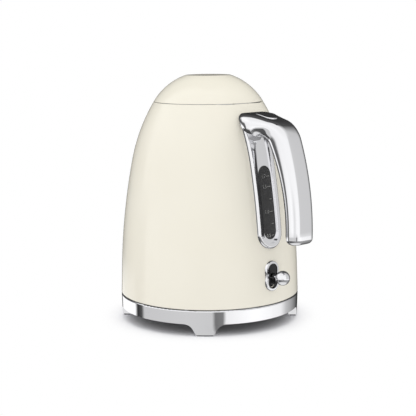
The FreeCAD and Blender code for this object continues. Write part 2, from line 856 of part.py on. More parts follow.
def lid_liner():
    """Inner pan of the lid, with the hinge lugs and the latch tongue."""
    top = liner_low_z + liner_thickness
    rim_z = lid_edge_z + liner_rim_rise
    rim = lid_centre.x + math.sqrt((lid_radius - lid_wall - slip_gap) ** 2 - (rim_z - lid_centre.z) ** 2)
    inner = liner_radius - liner_thickness
    pan = turned([
        (0, liner_low_z),
        (liner_radius, liner_low_z),
        (liner_radius, lid_edge_z),
        (rim, rim_z),
        (inner, rim_z),
        (inner, top),
        (0, top),
    ])
    slot_low_x = ear_foot_x - 4 * ear_half_width
    for y in (ear_inner_y - slip_gap, -ear_inner_y - ear_thickness - slip_gap):
        slot = Part.makeBox(far, ear_thickness + 2 * slip_gap, far, Vector(slot_low_x, y, 0))
        pan = pan.cut(slot)
    lugs = [hinge_arm(y, lug_thickness, ear_foot_x, liner_low_z, ear_half_width)
            for y in (ear_inner_y - slip_gap - lug_thickness, slip_gap - ear_inner_y)]
    lugs = [lug.common(slab(liner_low_z, far)) for lug in lugs]
    tongue_x = hinge_x - tongue_thickness / 2
    tongue = block(tongue_x, tongue_x + tongue_thickness, tongue_half_width, tongue_low_z, top)
    pin = cross_rod(hinge_pin_radius + running_gap, -far, far, hinge_x, hinge_z)
    holes = lid_boss_places(rod(screw_radius + slip_gap, liner_low_z, top))
    return pan.fuse(lugs + [tongue]).cut([pin] + holes).removeSplitter()


def lid_screws():
    return lid_boss_places(screw(liner_low_z, liner_thickness + screw_bite))


# Handle
handle_outer_centre = Vector(handle_reach - handle_outer_radius, 0, handle_tip_z)
handle_inner_centre = Vector(handle_reach - handle_grip_depth - handle_inner_radius, 0, handle_tip_z)
outer_offset = normal(handle_outer_bend_lean) * (handle_outer_radius - handle_outer_bend)
inner_offset = normal(handle_inner_bend_lean) * (handle_inner_radius - handle_inner_bend)
outer_bend_centre = handle_outer_centre + outer_offset
inner_bend_centre = handle_inner_centre + inner_offset
root_lean = 90.0 - handle_root_slope


def handle_prism(outer_inset, inner_inset, low, half_width):
    """Handle's side view as a prism, with its outer and inner lines moved in."""
    root = Vector(-math.sin(math.radians(root_lean)), 0, math.cos(math.radians(root_lean)))
    outer_radius = handle_outer_radius - outer_inset
    inner_radius = handle_inner_radius + inner_inset
    outer_low = math.degrees(math.asin((low - handle_tip_z) / outer_radius))
    inner_low = math.degrees(math.asin((low - handle_tip_z) / inner_radius))
    outer_foot = handle_outer_centre + normal(outer_low) * outer_radius
    inner_foot = handle_inner_centre + normal(inner_low) * inner_radius
    outer_head = outer_bend_centre + normal(root_lean) * (handle_outer_bend - outer_inset)
    inner_head = inner_bend_centre + normal(root_lean) * (handle_inner_bend + inner_inset)
    outer_root = outer_head + root * (outer_head.x - mouth_radius)
    inner_root = inner_head + root * (inner_head.x - mouth_radius)
    edges = [
        line(inner_foot, outer_foot),
        arc(handle_outer_centre, outer_radius, outer_low, handle_outer_bend_lean),
        arc(outer_bend_centre, handle_outer_bend - outer_inset, handle_outer_bend_lean, root_lean),
        line(outer_head, outer_root),
        line(outer_root, inner_root),
        line(inner_root, inner_head),
        arc(inner_bend_centre, handle_inner_bend + inner_inset, root_lean, handle_inner_bend_lean),
        arc(handle_inner_centre, inner_radius, handle_inner_bend_lean, inner_low),
    ]
    face = Part.Face(Part.Wire(edges)).translated(Vector(0, -half_width, 0))
    return face.extrude(Vector(0, 2 * half_width, 0))


def handle_plan():
    """Handle's top view: straight grip that flares to the root along an arc on each side."""
    widening = handle_root_half_width - handle_half_width
    sweep = math.sqrt(handle_flare_radius ** 2 - (handle_flare_radius - widening) ** 2)
    edges = []
    for side in (1, -1):
        tip = Vector(far, side * handle_half_width, 0)
        flare = Vector(handle_flare_x, side * handle_half_width, 0)
        root = Vector(handle_flare_x - sweep, side * handle_root_half_width, 0)
        edges += [line(tip, flare), arc_from(flare, Vector(-1, 0, 0), root)]
        edges.append(line(root, Vector(0, root.y, 0)))
    edges.append(line(Vector(far, -handle_half_width, 0), Vector(far, handle_half_width, 0)))
    edges.append(line(Vector(0, -handle_root_half_width, 0), Vector(0, handle_root_half_width, 0)))
    return Part.Face(Part.Wire(Part.__sortEdges__(edges))).extrude(Vector(0, 0, far))


def handle_full():
    """Handle as one rounded solid, from inside the body to its free lower end."""
    hook = handle_prism(0.0, 0.0, handle_low_z, 2 * handle_root_half_width)
    ends = [edge for edge in hook.Edges if level(edge, handle_low_z) and edge.BoundBox.XLength < 0.01]
    hook = hook.makeFillet(handle_end_round, ends)
    hook = hook.common(handle_plan())
    inside = hook.BoundBox.XMin + 0.01
    edges = []
    for edge in hook.Edges:
        box = edge.BoundBox
        along_side = min(abs(box.YMin), abs(box.YMax)) > handle_half_width - 0.01 and box.YMin * box.YMax > 0
        if along_side and box.XMax > inside and box.YLength < handle_root_half_width:
            edges.append(edge)
    return hook.makeFillet(handle_round, edges)


def handle_root_x():
    return body_reach(handle_screw_z) + handle_root_block


def handle_hollow(inner_inset, half_width):
    inside = handle_prism(handle_wall, inner_inset, handle_low_z + handle_wall, half_width)
    return inside.common(block(handle_root_x(), far, half_width, 0, far))


def bezel_outline(inset):
    """Bezel's outline, round at its lower end and square where it runs up under the handle."""
    half_width = bezel_half_width - inset
    strip = stadium(half_width, bezel_low_z + inset, bezel_top_z + half_width)
    return strip.common(slab(0, bezel_top_z))


def bezel_space(clearance):
    outline = bezel_outline(-clearance)
    return body_form(-bezel_rise - clearance, bezel_low_z - clearance, bezel_top_z).common(outline)


def button_pocket():
    low = slider_top_z - button_travel - slip_gap
    return plan_slot(button_x, button_length + 2 * button_gap, button_width + 2 * button_gap, low, far)


def slider_channel(gap):
    low = slider_z - button_travel - gap
    return block(0, button_x, slider_half_width + gap, low, slider_top_z + gap)


def handle_screw_places(shape):
    return [shape.translated(Vector(0, y, handle_screw_z)) for y in (-handle_screw_y, handle_screw_y)]


def handle(full):
    half_width = handle_half_width - handle_side_wall
    shell = full.cut(body_form(-seat_gap, 0, far))
    hollow = handle_hollow(-handle_inner_bend / 2, half_width)
    shell = shell.cut([hollow, bezel_space(seat_gap), button_pocket()])
    bore = long_rod(screw_radius + running_gap, 0, clamp_x + handle_screw_length + screw_tip_room, 0, 0)
    return shell.cut([slider_channel(slip_gap)] + handle_screw_places(bore))


def handle_cover(full):
    """Strip that closes the hollow on the handle's inner side, with the button spring's seat."""
    half_width = handle_half_width - handle_side_wall - seat_gap
    strip = handle_hollow(-handle_inner_bend / 2, half_width).cut(handle_hollow(handle_wall, half_width + 1))
    strip = strip.common(full)
    seat = rod(button_spring_radius + 2 * spring_wire, 0, button_spring_seat_z, button_x)
    seat = seat.common(handle_hollow(handle_wall / 2, half_width))
    return strip.fuse(seat).removeSplitter()


def handle_clamp():
    """Block inside the body that the handle's screws pull against."""
    bar = body_form(shell_wall + seat_gap, clamp_low_z, clamp_top_z)
    bar = bar.common(block(clamp_x, far, clamp_half_width, clamp_low_z, clamp_top_z))
    bore = long_rod(screw_radius + slip_gap, 0, far, 0, 0)
    return bar.cut([slider_channel(2 * slip_gap)] + handle_screw_places(bore))


def handle_screws():
    fixing = screw(0, handle_screw_length).rotated(Vector(), Vector(0, 1, 0), 90)
    return handle_screw_places(fixing.translated(Vector(clamp_x, 0, 0)))


# Lid release
def lid_button():
    outline = plan_slot(button_x, button_length, button_width, slider_top_z, far)
    cap = handle_prism(-button_proud, 0.0, handle_low_z, button_width).common(outline)
    middle = (slider_top_z + cap.BoundBox.ZMax) / 2
    return rounded(cap, button_round, lambda edge: edge.BoundBox.ZMin > middle)


def release_slider():
    pad_x = handle_root_x() + 2 * slip_gap
    bar = block(hook_x, button_x, slider_half_width, slider_z, slider_top_z)
    pad = block(pad_x, pad_x + slider_pad_length, slider_pad_half_width, slider_z, slider_top_z)
    hook = block(hook_x, hook_x + hook_thickness, slider_half_width, slider_z, hook_top_z)
    return bar.fuse([pad, hook]).removeSplitter()


def button_spring():
    pitch = (slider_z - button_spring_seat_z - spring_wire - 2 * running_gap) / button_spring_turns
    spring = coil(button_spring_radius, pitch, button_spring_turns, spring_wire)
    return spring.translated(Vector(button_x, 0, button_spring_seat_z + running_gap))


# Water gauge
def gauge_lens():
    pane = stadium(window_half_width - slip_gap, window_low_z + slip_gap, window_top_z - slip_gap)
    flange = stadium(window_half_width + lens_flange, window_low_z - lens_flange, window_top_z + lens_flange)
    behind = shell_wall + seal_thickness
    window = body_layer(-lens_proud, behind + lens_inner_depth, pane)
    return window.fuse(body_layer(behind, behind + lens_flange_thickness, flange)).removeSplitter()


def gauge_seal():
    flange = stadium(window_half_width + lens_flange, window_low_z - lens_flange, window_top_z + lens_flange)
    hole = stadium(window_half_width, window_low_z, window_top_z)
    return body_layer(shell_wall + running_gap, shell_wall + seal_thickness - running_gap, flange).cut(hole)


def gauge_bezel():
    """Raised frame with a rounded rim, a sunk floor and the window cut through it."""
    frame = body_layer(-bezel_rise, -seat_gap, bezel_outline(0.0))

    def rim_edge(edge):
        point = edge.valueAt((edge.FirstParameter + edge.LastParameter) / 2)
        proud = math.hypot(point.x, point.y) - body_reach(point.z)
        return proud > bezel_rise - seat_gap and point.z < bezel_top_z - bezel_round

    frame = rounded(frame, bezel_round, rim_edge)
    recess = body_form(-2 * bezel_rise, bezel_low_z, slider_z).cut(body_form(-bezel_floor, 0, far))
    half_width = bezel_half_width - bezel_rim_width
    sunk = stadium(half_width, bezel_low_z + bezel_rim_width, slider_z + half_width)
    return frame.cut([recess.common(sunk), stadium(window_half_width, window_low_z, window_top_z)])


# Lever switch
lever_surface_x = body_reach(lever_z)
lever_pivot_x = lever_surface_x - lever_pivot_inset
lever_ball_x = lever_surface_x + lever_out


def waisted(half_width, half_height):
    """Figure of eight with a shallow waist, as a prism along +X."""
    outline = stadium(half_width, lever_z - half_height, lever_z + half_height)
    offset = half_width + plate_waist_radius - plate_waist
    for side in (1, -1):
        bite = Part.makeCylinder(plate_waist_radius, far, Vector(0, side * offset, lever_z), Vector(1, 0, 0))
        outline = outline.cut(bite)
    return outline


def switch_plate():
    outline = waisted(plate_half_width, plate_half_height)
    frame = body_layer(-plate_rise, -seat_gap, outline)

    def outer_edge(edge):
        point = edge.valueAt((edge.FirstParameter + edge.LastParameter) / 2)
        return math.hypot(point.x, point.y) - body_reach(point.z) > plate_rise - seat_gap

    frame = rounded(frame, plate_round, outer_edge)
    return frame.cut(waisted(plate_half_width - plate_rim, plate_half_height - plate_rim))


def lever_slot(gap):
    """Slot that the stem sweeps from rest to fully down."""
    drop = lever_pivot_inset * math.tan(math.radians(lever_down))
    half_width = lever_stem_radius + gap
    return stadium(half_width, lever_z - drop - half_width - 2 * gap, lever_z + half_width + gap)


def switch_insert():
    half_width = plate_half_width - plate_rim - slip_gap
    half_height = plate_half_height - plate_rim - slip_gap
    inner = shell_wall + insert_depth
    plug = body_layer(insert_sunk - plate_rise, inner, waisted(half_width, half_height))
    flange = stadium(half_width + insert_flange, lever_z - half_height - insert_flange,
                     lever_z + half_height + insert_flange)
    behind = shell_wall + seat_gap
    flange = body_layer(behind, behind + insert_flange_thickness, flange)
    return plug.fuse(flange).cut(lever_slot(2 * slip_gap)).removeSplitter()


def lever_arm():
    stem = long_rod(lever_stem_radius, lever_pivot_x, lever_ball_x, 0, lever_z)
    hub = cross_rod(lever_hub_radius, -lever_hub_half_width, lever_hub_half_width, lever_pivot_x, lever_z)
    toe = block(lever_pivot_x - lever_toe_length, lever_pivot_x, lever_hub_half_width / 2,
                lever_z - lever_toe_half_height, lever_z + lever_toe_half_height)
    bore = cross_rod(lever_pin_radius + running_gap, -far, far, lever_pivot_x, lever_z)
    return stem.fuse([hub, toe]).cut([bore, lever_ball()]).removeSplitter()


def lever_ball():
    return Part.makeSphere(lever_ball_radius, Vector(lever_ball_x, 0, lever_z))


def lever_pin():
    end = lever_hub_half_width + slip_gap + bracket_cheek
    return cross_rod(lever_pin_radius, -end, end, lever_pivot_x, lever_z)


def lever_bracket():
    """Two cheeks under the vessel floor that carry the lever's pin."""
    inner = lever_hub_half_width + slip_gap
    outer = inner + bracket_cheek
    low = lever_z - lever_hub_radius
    start_x = lever_pivot_x - bracket_half_length
    yoke = block(start_x, start_x + 2 * bracket_half_length, outer, low, floor_under_z)
    space = block(0, far, inner, low, floor_under_z - bracket_web)
    bore = cross_rod(lever_pin_radius + running_gap, -far, far, lever_pivot_x, lever_z)
    return yoke.cut([space, bore])


# Body shell
def body_shell():
    shell = body_form(0.0, shell_bottom_z, shell_top_z)
    shell = rounded(shell, hem_round, lambda edge: level(edge, shell_bottom_z))
    hem_top_z = shell_bottom_z + shell_wall
    shell = shell.cut([body_form(shell_wall, hem_top_z, far), rod(hem_radius, 0, hem_top_z)])
    window = stadium(window_half_width, window_low_z, window_top_z)
    insert = stadium(plate_half_width - plate_rim, lever_z - plate_half_height + plate_rim,
                     lever_z + plate_half_height - plate_rim)
    bore = long_rod(screw_radius + slip_gap, 0, far, 0, 0)
    cuts = [window, insert, spout_loft(spout_wall), slider_channel(2 * slip_gap), lid_sweep(hinge_open_clear)]
    return shell.cut(cuts + handle_screw_places(bore))


hook = handle_full()
pieces = {
    "base_ring": base_ring(),
    "foot_pads": foot_pads(),
    "base_tray": base_tray(),
    "base_bottom": base_bottom(),
    "base_screws": base_screws(),
    "cord_gland": cord_gland(),
    "base_connector": base_connector(),
    "base_contacts": base_contacts(),
    "body_shell": body_shell(),
    "bottom_cover": bottom_cover(),
    "bottom_screws": bottom_screws(),
    "vessel_floor": vessel_floor(),
    "heat_spreader": heat_spreader(),
    "heating_element": heating_element(),
    "control_unit": control_unit(),
    "bimetal_disc": bimetal_disc(),
    "socket_pin": socket_pin(),
    "socket_rings": socket_rings(),
    "steam_tube": steam_tube(),
    "spout": spout(),
    "filter_frame": filter_frame(),
    "filter_mesh": filter_mesh(),
    "mouth_collar": mouth_collar(),
    "hinge_pin": hinge_pin(),
    "lid_spring": lid_spring(),
    "lid_cap": lid_cap(),
    "lid_liner": lid_liner(),
    "lid_screws": lid_screws(),
    "handle": handle(hook),
    "handle_cover": handle_cover(hook),
    "handle_clamp": handle_clamp(),
    "handle_screws": handle_screws(),
    "lid_button": lid_button(),
    "release_slider": release_slider(),
    "button_spring": button_spring(),
    "gauge_bezel": gauge_bezel(),
    "gauge_lens": gauge_lens(),
    "gauge_seal": gauge_seal(),
    "switch_plate": switch_plate(),
    "switch_insert": switch_insert(),
    "lever_arm": lever_arm(),
    "lever_ball": lever_ball(),
    "lever_pin": lever_pin(),
    "lever_bracket": lever_bracket(),
}

os.makedirs("parts", exist_ok=True)
for name, shape in pieces.items():
    solids = shape if isinstance(shape, list) else [shape]
    solids = [solid for item in solids for solid in item.Solids]
    whole = solids[0] if len(solids) == 1 else Part.makeCompound(solids)
    whole.exportStep("parts/" + name + ".step")
    print(name, len(solids), "valid" if whole.isValid() else "NOT VALID", round(whole.Volume, 1))
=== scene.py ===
import bmesh
import bpy
import math
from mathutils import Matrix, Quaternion, Vector


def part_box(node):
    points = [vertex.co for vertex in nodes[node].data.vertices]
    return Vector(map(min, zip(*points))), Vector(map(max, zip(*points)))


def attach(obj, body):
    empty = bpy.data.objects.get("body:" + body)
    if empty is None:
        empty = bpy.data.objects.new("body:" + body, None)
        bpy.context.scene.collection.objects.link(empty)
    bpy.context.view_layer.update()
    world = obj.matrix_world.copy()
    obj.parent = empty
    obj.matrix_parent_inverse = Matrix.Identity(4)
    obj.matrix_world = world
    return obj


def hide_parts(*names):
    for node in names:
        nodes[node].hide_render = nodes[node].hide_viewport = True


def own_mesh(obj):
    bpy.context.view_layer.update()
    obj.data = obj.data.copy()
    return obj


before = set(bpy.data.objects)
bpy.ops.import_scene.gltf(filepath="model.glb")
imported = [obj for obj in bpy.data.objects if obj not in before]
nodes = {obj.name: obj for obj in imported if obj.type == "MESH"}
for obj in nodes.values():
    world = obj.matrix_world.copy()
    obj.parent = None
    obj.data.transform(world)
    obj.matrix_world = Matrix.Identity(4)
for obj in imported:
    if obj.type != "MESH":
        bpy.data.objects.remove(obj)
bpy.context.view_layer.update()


# Studio. The kettle stands on a white paper sweep inside a soft white tent. The tent's walls
# have lit panels with darker gaps between them, and those gaps are what the chrome mirrors.
# The camera itself sees only white paper, and the paper keeps the kettle's shadow.
def linear(code):
    """Colour from an sRGB hex value, in linear light."""
    parts = [int(code[i:i + 2], 16) / 255 for i in (1, 3, 5)]
    return [c / 12.92 if c <= 0.04045 else ((c + 0.055) / 1.055) ** 2.4 for c in parts] + [1.0]


def add(tree, kind, inputs=None, **settings):
    """Add one node: settings are its own options, inputs are links or plain values."""
    node = tree.nodes.new(kind)
    for name, value in settings.items():
        setattr(node, name, value)
    for name, value in (inputs or {}).items():
        if isinstance(value, bpy.types.NodeSocket):
            tree.links.new(value, node.inputs[name])
        else:
            node.inputs[name].default_value = value
    return node


camera_turn = math.radians(48.0)
light_level = 0.68
light_overhead = 1.3
light_left = 1.13
light_right = 1.0
# A colour ramp stops at 1, so the panels are kept there as shares of this brightness.
brightest = 2.5
# Panels round the tent as (angle, brightness): 0 degrees is behind the camera, 90 is to its right.
under_panels = [(-180, 0.85), (180, 0.85)]
floor_panels = [(-180, 0.06), (-105, 0.08), (-50, 0.12), (0, 0.3), (90, 0.4), (130, 0.2), (180, 0.06)]
ring_panels = [
    (-180, 0.03), (-164, 0.05), (-158, 1.1), (-114, 1.2), (-109, 0.03), (-99, 0.1), (-94, 0.66), (-30, 0.7),
    (3, 0.68), (7, 0.2), (17, 0.24), (21, 1.0), (60, 1.2), (105, 1.0), (118, 0.6), (140, 0.3), (158, 0.05),
    (180, 0.03)]
grip_panels = [
    (-180, 0.03), (-172, 0.05), (-128, 0.12), (-94, 0.14), (-89, 1.0), (-40, 1.15), (-12, 0.85), (12, 1.1),
    (46, 1.1), (60, 0.7), (108, 0.68), (122, 0.4), (138, 0.15), (148, 0.05), (180, 0.03)]
bend_panels = [
    (-180, 0.03), (-172, 0.05), (-130, 0.12), (-112, 0.14), (-106, 1.0), (46, 1.1), (60, 0.7), (108, 0.68),
    (122, 0.4), (138, 0.15), (148, 0.05), (180, 0.03)]
root_panels = [
    (-180, 0.04), (-128, 0.08), (-116, 1.3), (-60, 1.1), (46, 1.05), (64, 0.72), (108, 0.62), (124, 0.3),
    (142, 0.06), (180, 0.04)]
roof_panels = [(-180, 0.08), (-135, 0.1), (-112, 1.0), (60, 1.0), (110, 0.6), (140, 0.1), (180, 0.08)]
# The rows of panels from the floor up, each at its height in degrees.
tent_walls = [
    (-58, under_panels),
    (-46, floor_panels),
    (-21, floor_panels),
    (-19, ring_panels),
    (-13, ring_panels),
    (-10, grip_panels),
    (-3, grip_panels),
    (6, bend_panels),
    (34, root_panels),
    (60, roof_panels),
]
world = bpy.data.worlds.new("white_tent")
bpy.context.scene.world = world
world.use_nodes = True
tree = world.node_tree
tree.nodes.clear()
way = add(tree, "ShaderNodeTexCoord").outputs["Generated"]
turned_way = add(tree, "ShaderNodeVectorRotate", {
    "Vector": way, "Angle": math.pi / 2 - camera_turn}, rotation_type="Z_AXIS")
split_way = add(tree, "ShaderNodeSeparateXYZ", {"Vector": turned_way.outputs[0]})
bearing = add(tree, "ShaderNodeMath", {
    0: split_way.outputs["Y"], 1: split_way.outputs["X"]}, operation="ARCTAN2")
bearing = add(tree, "ShaderNodeMapRange", {
    "Value": bearing.outputs[0], "From Min": -math.pi, "From Max": math.pi})
walls = None
last_rise = None
for wall_height, panels in tent_walls:
    ramp = add(tree, "ShaderNodeValToRGB", {"Fac": bearing.outputs[0]})
    stops = ramp.color_ramp.elements
    stops[1].position = 1.0
    for angle, brightness in panels[1:-1]:
        stops.new((angle + 180) / 360)
    for stop, (angle, brightness) in zip(stops, panels):
        stop.color = [brightness / brightest] * 3 + [1.0]
    rise = math.sin(math.radians(wall_height))
    if walls is None:
        walls = ramp.outputs["Color"]
    else:
        share = add(tree, "ShaderNodeMapRange", {
            "Value": split_way.outputs["Z"], "From Min": last_rise, "From Max": rise})
        walls = add(tree, "ShaderNodeMix", {
            "Factor": share.outputs[0], "A": walls, "B": ramp.outputs["Color"]},
            data_type="RGBA").outputs["Result"]
    last_rise = rise
overhead = add(tree, "ShaderNodeMapRange", {
    "Value": split_way.outputs["Z"], "From Min": 0.0, "From Max": 1.0,
    "To Min": light_level, "To Max": light_overhead})
sideways = add(tree, "ShaderNodeMapRange", {
    "Value": split_way.outputs["Y"], "From Min": -1.0, "From Max": 1.0,
    "To Min": light_left, "To Max": light_right})
level = add(tree, "ShaderNodeMath", {0: overhead.outputs[0], 1: sideways.outputs[0]}, operation="MULTIPLY")
ray = add(tree, "ShaderNodeLightPath")
seen = add(tree, "ShaderNodeMath", {
    0: ray.outputs["Is Camera Ray"], 1: ray.outputs["Is Transmission Ray"]}, operation="MAXIMUM")
tent_light = add(tree, "ShaderNodeBackground", {"Color": linear("#FFFFFF"), "Strength": level.outputs[0]})
mirrored = add(tree, "ShaderNodeBackground", {"Color": walls, "Strength": brightest})
paper = add(tree, "ShaderNodeBackground", {"Color": linear("#FFFFFF"), "Strength": 1.0})
lit = add(tree, "ShaderNodeMixShader", {
    "Fac": ray.outputs["Is Glossy Ray"], 1: tent_light.outputs[0], 2: mirrored.outputs[0]})
lit = add(tree, "ShaderNodeMixShader", {"Fac": seen.outputs[0], 1: lit.outputs[0], 2: paper.outputs[0]})
add(tree, "ShaderNodeOutputWorld", {"Surface": lit.outputs[0]})

# Sizes and places are in metres.
sweep_half = 4.0
shadow_reach = 0.06
shadow_full = 0.42
shadow_gone = 0.8
sweep_mesh = bpy.data.meshes.new("paper_sweep")
corners = [(x * sweep_half, y * sweep_half, 0) for x, y in ((-1, -1), (1, -1), (1, 1), (-1, 1))]
sweep_mesh.from_pydata(corners, [], [(0, 1, 2, 3)])
sweep = bpy.data.objects.new("paper_sweep", sweep_mesh)
bpy.context.collection.objects.link(sweep)
paper_material = bpy.data.materials.new("White paper sweep")
paper_material.use_nodes = True
tree = paper_material.node_tree
tree.nodes.clear()
ray = add(tree, "ShaderNodeLightPath")
matt = add(tree, "ShaderNodeBsdfDiffuse", {"Color": linear("#F2F2F5")})
glow = add(tree, "ShaderNodeEmission", {"Color": linear("#FFFFFF"), "Strength": 1.0})
near = add(tree, "ShaderNodeAmbientOcclusion", {"Distance": shadow_reach}, samples=16)
open_paper = add(tree, "ShaderNodeMapRange", {
    "Value": near.outputs["AO"], "From Min": shadow_full, "From Max": shadow_gone},
    interpolation_type="SMOOTHSTEP")
shown = add(tree, "ShaderNodeMixShader", {
    "Fac": open_paper.outputs[0], 1: matt.outputs[0], 2: glow.outputs[0]})
shown = add(tree, "ShaderNodeMixShader", {
    "Fac": ray.outputs["Is Camera Ray"], 1: matt.outputs[0], 2: shown.outputs[0]})
through = add(tree, "ShaderNodeBsdfTransparent")
passed = add(tree, "ShaderNodeMixShader", {
    "Fac": ray.outputs["Is Glossy Ray"], 1: shown.outputs[0], 2: through.outputs[0]})
add(tree, "ShaderNodeOutputMaterial", {"Surface": passed.outputs[0]})
sweep_mesh.materials.append(paper_material)

camera_distance = 1.1073
camera_height = 0.2882
camera_dip = math.radians(9.185)
camera_swing = 0.00095
camera_roll = math.radians(-0.458)
camera_away = Vector((math.sin(camera_turn), -math.cos(camera_turn), 0.0))
camera_right = Vector((math.cos(camera_turn), math.sin(camera_turn), 0.0))
camera_data = bpy.data.cameras.new("photo_camera")
camera_data.sensor_width = 36.0
camera_data.lens = 96.0
camera = bpy.data.objects.new("photo_camera", camera_data)
bpy.context.collection.objects.link(camera)
bpy.context.scene.camera = camera
camera.location = camera_away * camera_distance + Vector((0.0, 0.0, camera_height))
look = camera_away * -math.cos(camera_dip) - Vector((0.0, 0.0, math.sin(camera_dip)))
look -= camera_right * camera_swing
camera.rotation_mode = "QUATERNION"
camera.rotation_quaternion = look.to_track_quat("-Z", "Y") @ Quaternion((0.0, 0.0, 1.0), camera_roll)
bpy.context.scene.view_settings.view_transform = "Standard"


# Base ring. A zinc casting with four feet, polished and chrome plated. Plating leaves a
# mirror with a faint ripple from the polishing wheel and a slight haze where hands touch it.
def begin(name):
    """New material with an empty tree and the Object coordinates of its piece."""
    made = bpy.data.materials.new(name)
    made.use_nodes = True
    made.node_tree.nodes.clear()
    place = add(made.node_tree, "ShaderNodeTexCoord").outputs["Object"]
    return made, made.node_tree, place


def scale_for(millimetres):
    """Scale of a pattern whose marks are this far across."""
    return 1000 / millimetres


def dress(material, *names):
    """Give CAD nodes a material in place of their plain one."""
    for name in names:
        slots = nodes[name].data.materials
        slots.clear()
        slots.append(material)


chrome, tree, place = begin("Polished chrome plate")
haze = add(tree, "ShaderNodeTexNoise", {"Vector": place, "Scale": scale_for(35), "Detail": 3.0})
haze = add(tree, "ShaderNodeMapRange", {
    "Value": haze.outputs["Fac"], "From Min": 0.3, "From Max": 0.7, "To Min": 0.025, "To Max": 0.06})
ripple = add(tree, "ShaderNodeTexNoise", {"Vector": place, "Scale": scale_for(14), "Detail": 1.0})
ripple = add(tree, "ShaderNodeBump", {"Height": ripple.outputs["Fac"], "Strength": 0.06, "Distance": 0.0004})
plate = add(tree, "ShaderNodeBsdfPrincipled", {
    "Base Color": linear("#EEEEF0"), "Metallic": 1.0, "Roughness": haze.outputs[0],
    "Normal": ripple.outputs[0]})
add(tree, "ShaderNodeOutputMaterial", {"Surface": plate.outputs[0]})
dress(chrome, "base_ring")


# Foot pads, cord gland and gauge seal. Grey rubber, moulded and pressed into its seats. The
# mould leaves a fine sandy grain, which makes the rubber look matt and a little dusty.
# The real grain is finer; this one is as coarse as it needs to be to show.
rubber, tree, place = begin("Moulded grey rubber")
grain = add(tree, "ShaderNodeTexNoise", {"Vector": place, "Scale": scale_for(0.8), "Detail": 4.0})
tone = add(tree, "ShaderNodeMix", {
    "Factor": grain.outputs["Fac"], "A": linear("#3B3B3D"), "B": linear("#4A4A4C")}, data_type="RGBA")
rough = add(tree, "ShaderNodeBump", {"Height": grain.outputs["Fac"], "Strength": 0.3, "Distance": 0.0001})
skin = add(tree, "ShaderNodeBsdfPrincipled", {
    "Base Color": tone.outputs["Result"], "Roughness": 0.8, "IOR": 1.52, "Normal": rough.outputs[0]})
add(tree, "ShaderNodeOutputMaterial", {"Surface": skin.outputs[0]})
dress(rubber, "foot_pads", "cord_gland", "gauge_seal")


# Base tray, its bottom, the connector and the covers. Black plastic mouldings with a spark-eroded
# grain, clipped or screwed together. The grain scatters the light a little and hides finger marks.
# The real grain is finer; it is drawn coarse enough to show.
black_plastic, tree, place = begin("Moulded black polypropylene")
grain = add(tree, "ShaderNodeTexNoise", {"Vector": place, "Scale": scale_for(0.7), "Detail": 3.0})
flow = add(tree, "ShaderNodeTexNoise", {"Vector": place, "Scale": scale_for(40), "Detail": 2.0})
tone = add(tree, "ShaderNodeMix", {
    "Factor": flow.outputs["Fac"], "A": linear("#131314"), "B": linear("#1D1D1F")}, data_type="RGBA")
gloss = add(tree, "ShaderNodeMapRange", {"Value": grain.outputs["Fac"], "To Min": 0.36, "To Max": 0.52})
pores = add(tree, "ShaderNodeBump", {"Height": grain.outputs["Fac"], "Strength": 0.25, "Distance": 0.0001})
skin = add(tree, "ShaderNodeBsdfPrincipled", {
    "Base Color": tone.outputs["Result"], "Roughness": gloss.outputs[0], "IOR": 1.49,
    "Normal": pores.outputs[0]})
add(tree, "ShaderNodeOutputMaterial", {"Surface": skin.outputs[0]})
dress(black_plastic, "base_tray", "base_bottom", "base_connector", "bottom_cover", "control_unit",
      "lever_bracket", "handle_clamp", "release_slider", "handle_cover")


# Contacts. Leaves, pin, rings and switch disc of rolled brass, set into the connector and the
# control unit. Heat darkens it in patches, which look duller than the bright metal round them.
brass, tree, place = begin("Rolled contact brass")
stain = add(tree, "ShaderNodeTexNoise", {"Vector": place, "Scale": scale_for(5), "Detail": 4.0})
tone = add(tree, "ShaderNodeMix", {
    "Factor": stain.outputs["Fac"], "A": linear("#C79A4B"), "B": linear("#E0BE73")}, data_type="RGBA")
wear = add(tree, "ShaderNodeMapRange", {"Value": stain.outputs["Fac"], "To Min": 0.34, "To Max": 0.2})
skin = add(tree, "ShaderNodeBsdfPrincipled", {
    "Base Color": tone.outputs["Result"], "Metallic": 1.0, "Roughness": wear.outputs[0]})
add(tree, "ShaderNodeOutputMaterial", {"Surface": skin.outputs[0]})
dress(brass, "base_contacts", "socket_pin", "socket_rings", "bimetal_disc")


# Body shell, lid and spout. Deep-drawn steel with a thick glossy cream enamel. The coat flows
# as it is baked, which leaves a faint orange peel and a very slight drift in its colour.
enamel, tree, place = begin("Baked cream enamel")
drift = add(tree, "ShaderNodeTexNoise", {"Vector": place, "Scale": scale_for(60), "Detail": 2.0})
tone = add(tree, "ShaderNodeMix", {
    "Factor": drift.outputs["Fac"], "A": linear("#EDE8D8"), "B": linear("#F0ECDE")}, data_type="RGBA")
peel = add(tree, "ShaderNodeTexNoise", {"Vector": place, "Scale": scale_for(2.5), "Detail": 1.0})
peel_bump = add(tree, "ShaderNodeBump", {
    "Height": peel.outputs["Fac"], "Strength": 0.05, "Distance": 0.0001})
gloss = add(tree, "ShaderNodeMapRange", {"Value": drift.outputs["Fac"], "To Min": 0.07, "To Max": 0.13})
coat = add(tree, "ShaderNodeBsdfPrincipled", {
    "Base Color": tone.outputs["Result"], "Roughness": gloss.outputs[0], "IOR": 1.52,
    "Normal": peel_bump.outputs[0]})
add(tree, "ShaderNodeOutputMaterial", {"Surface": coat.outputs[0]})
dress(enamel, "body_shell", "lid_cap", "spout")


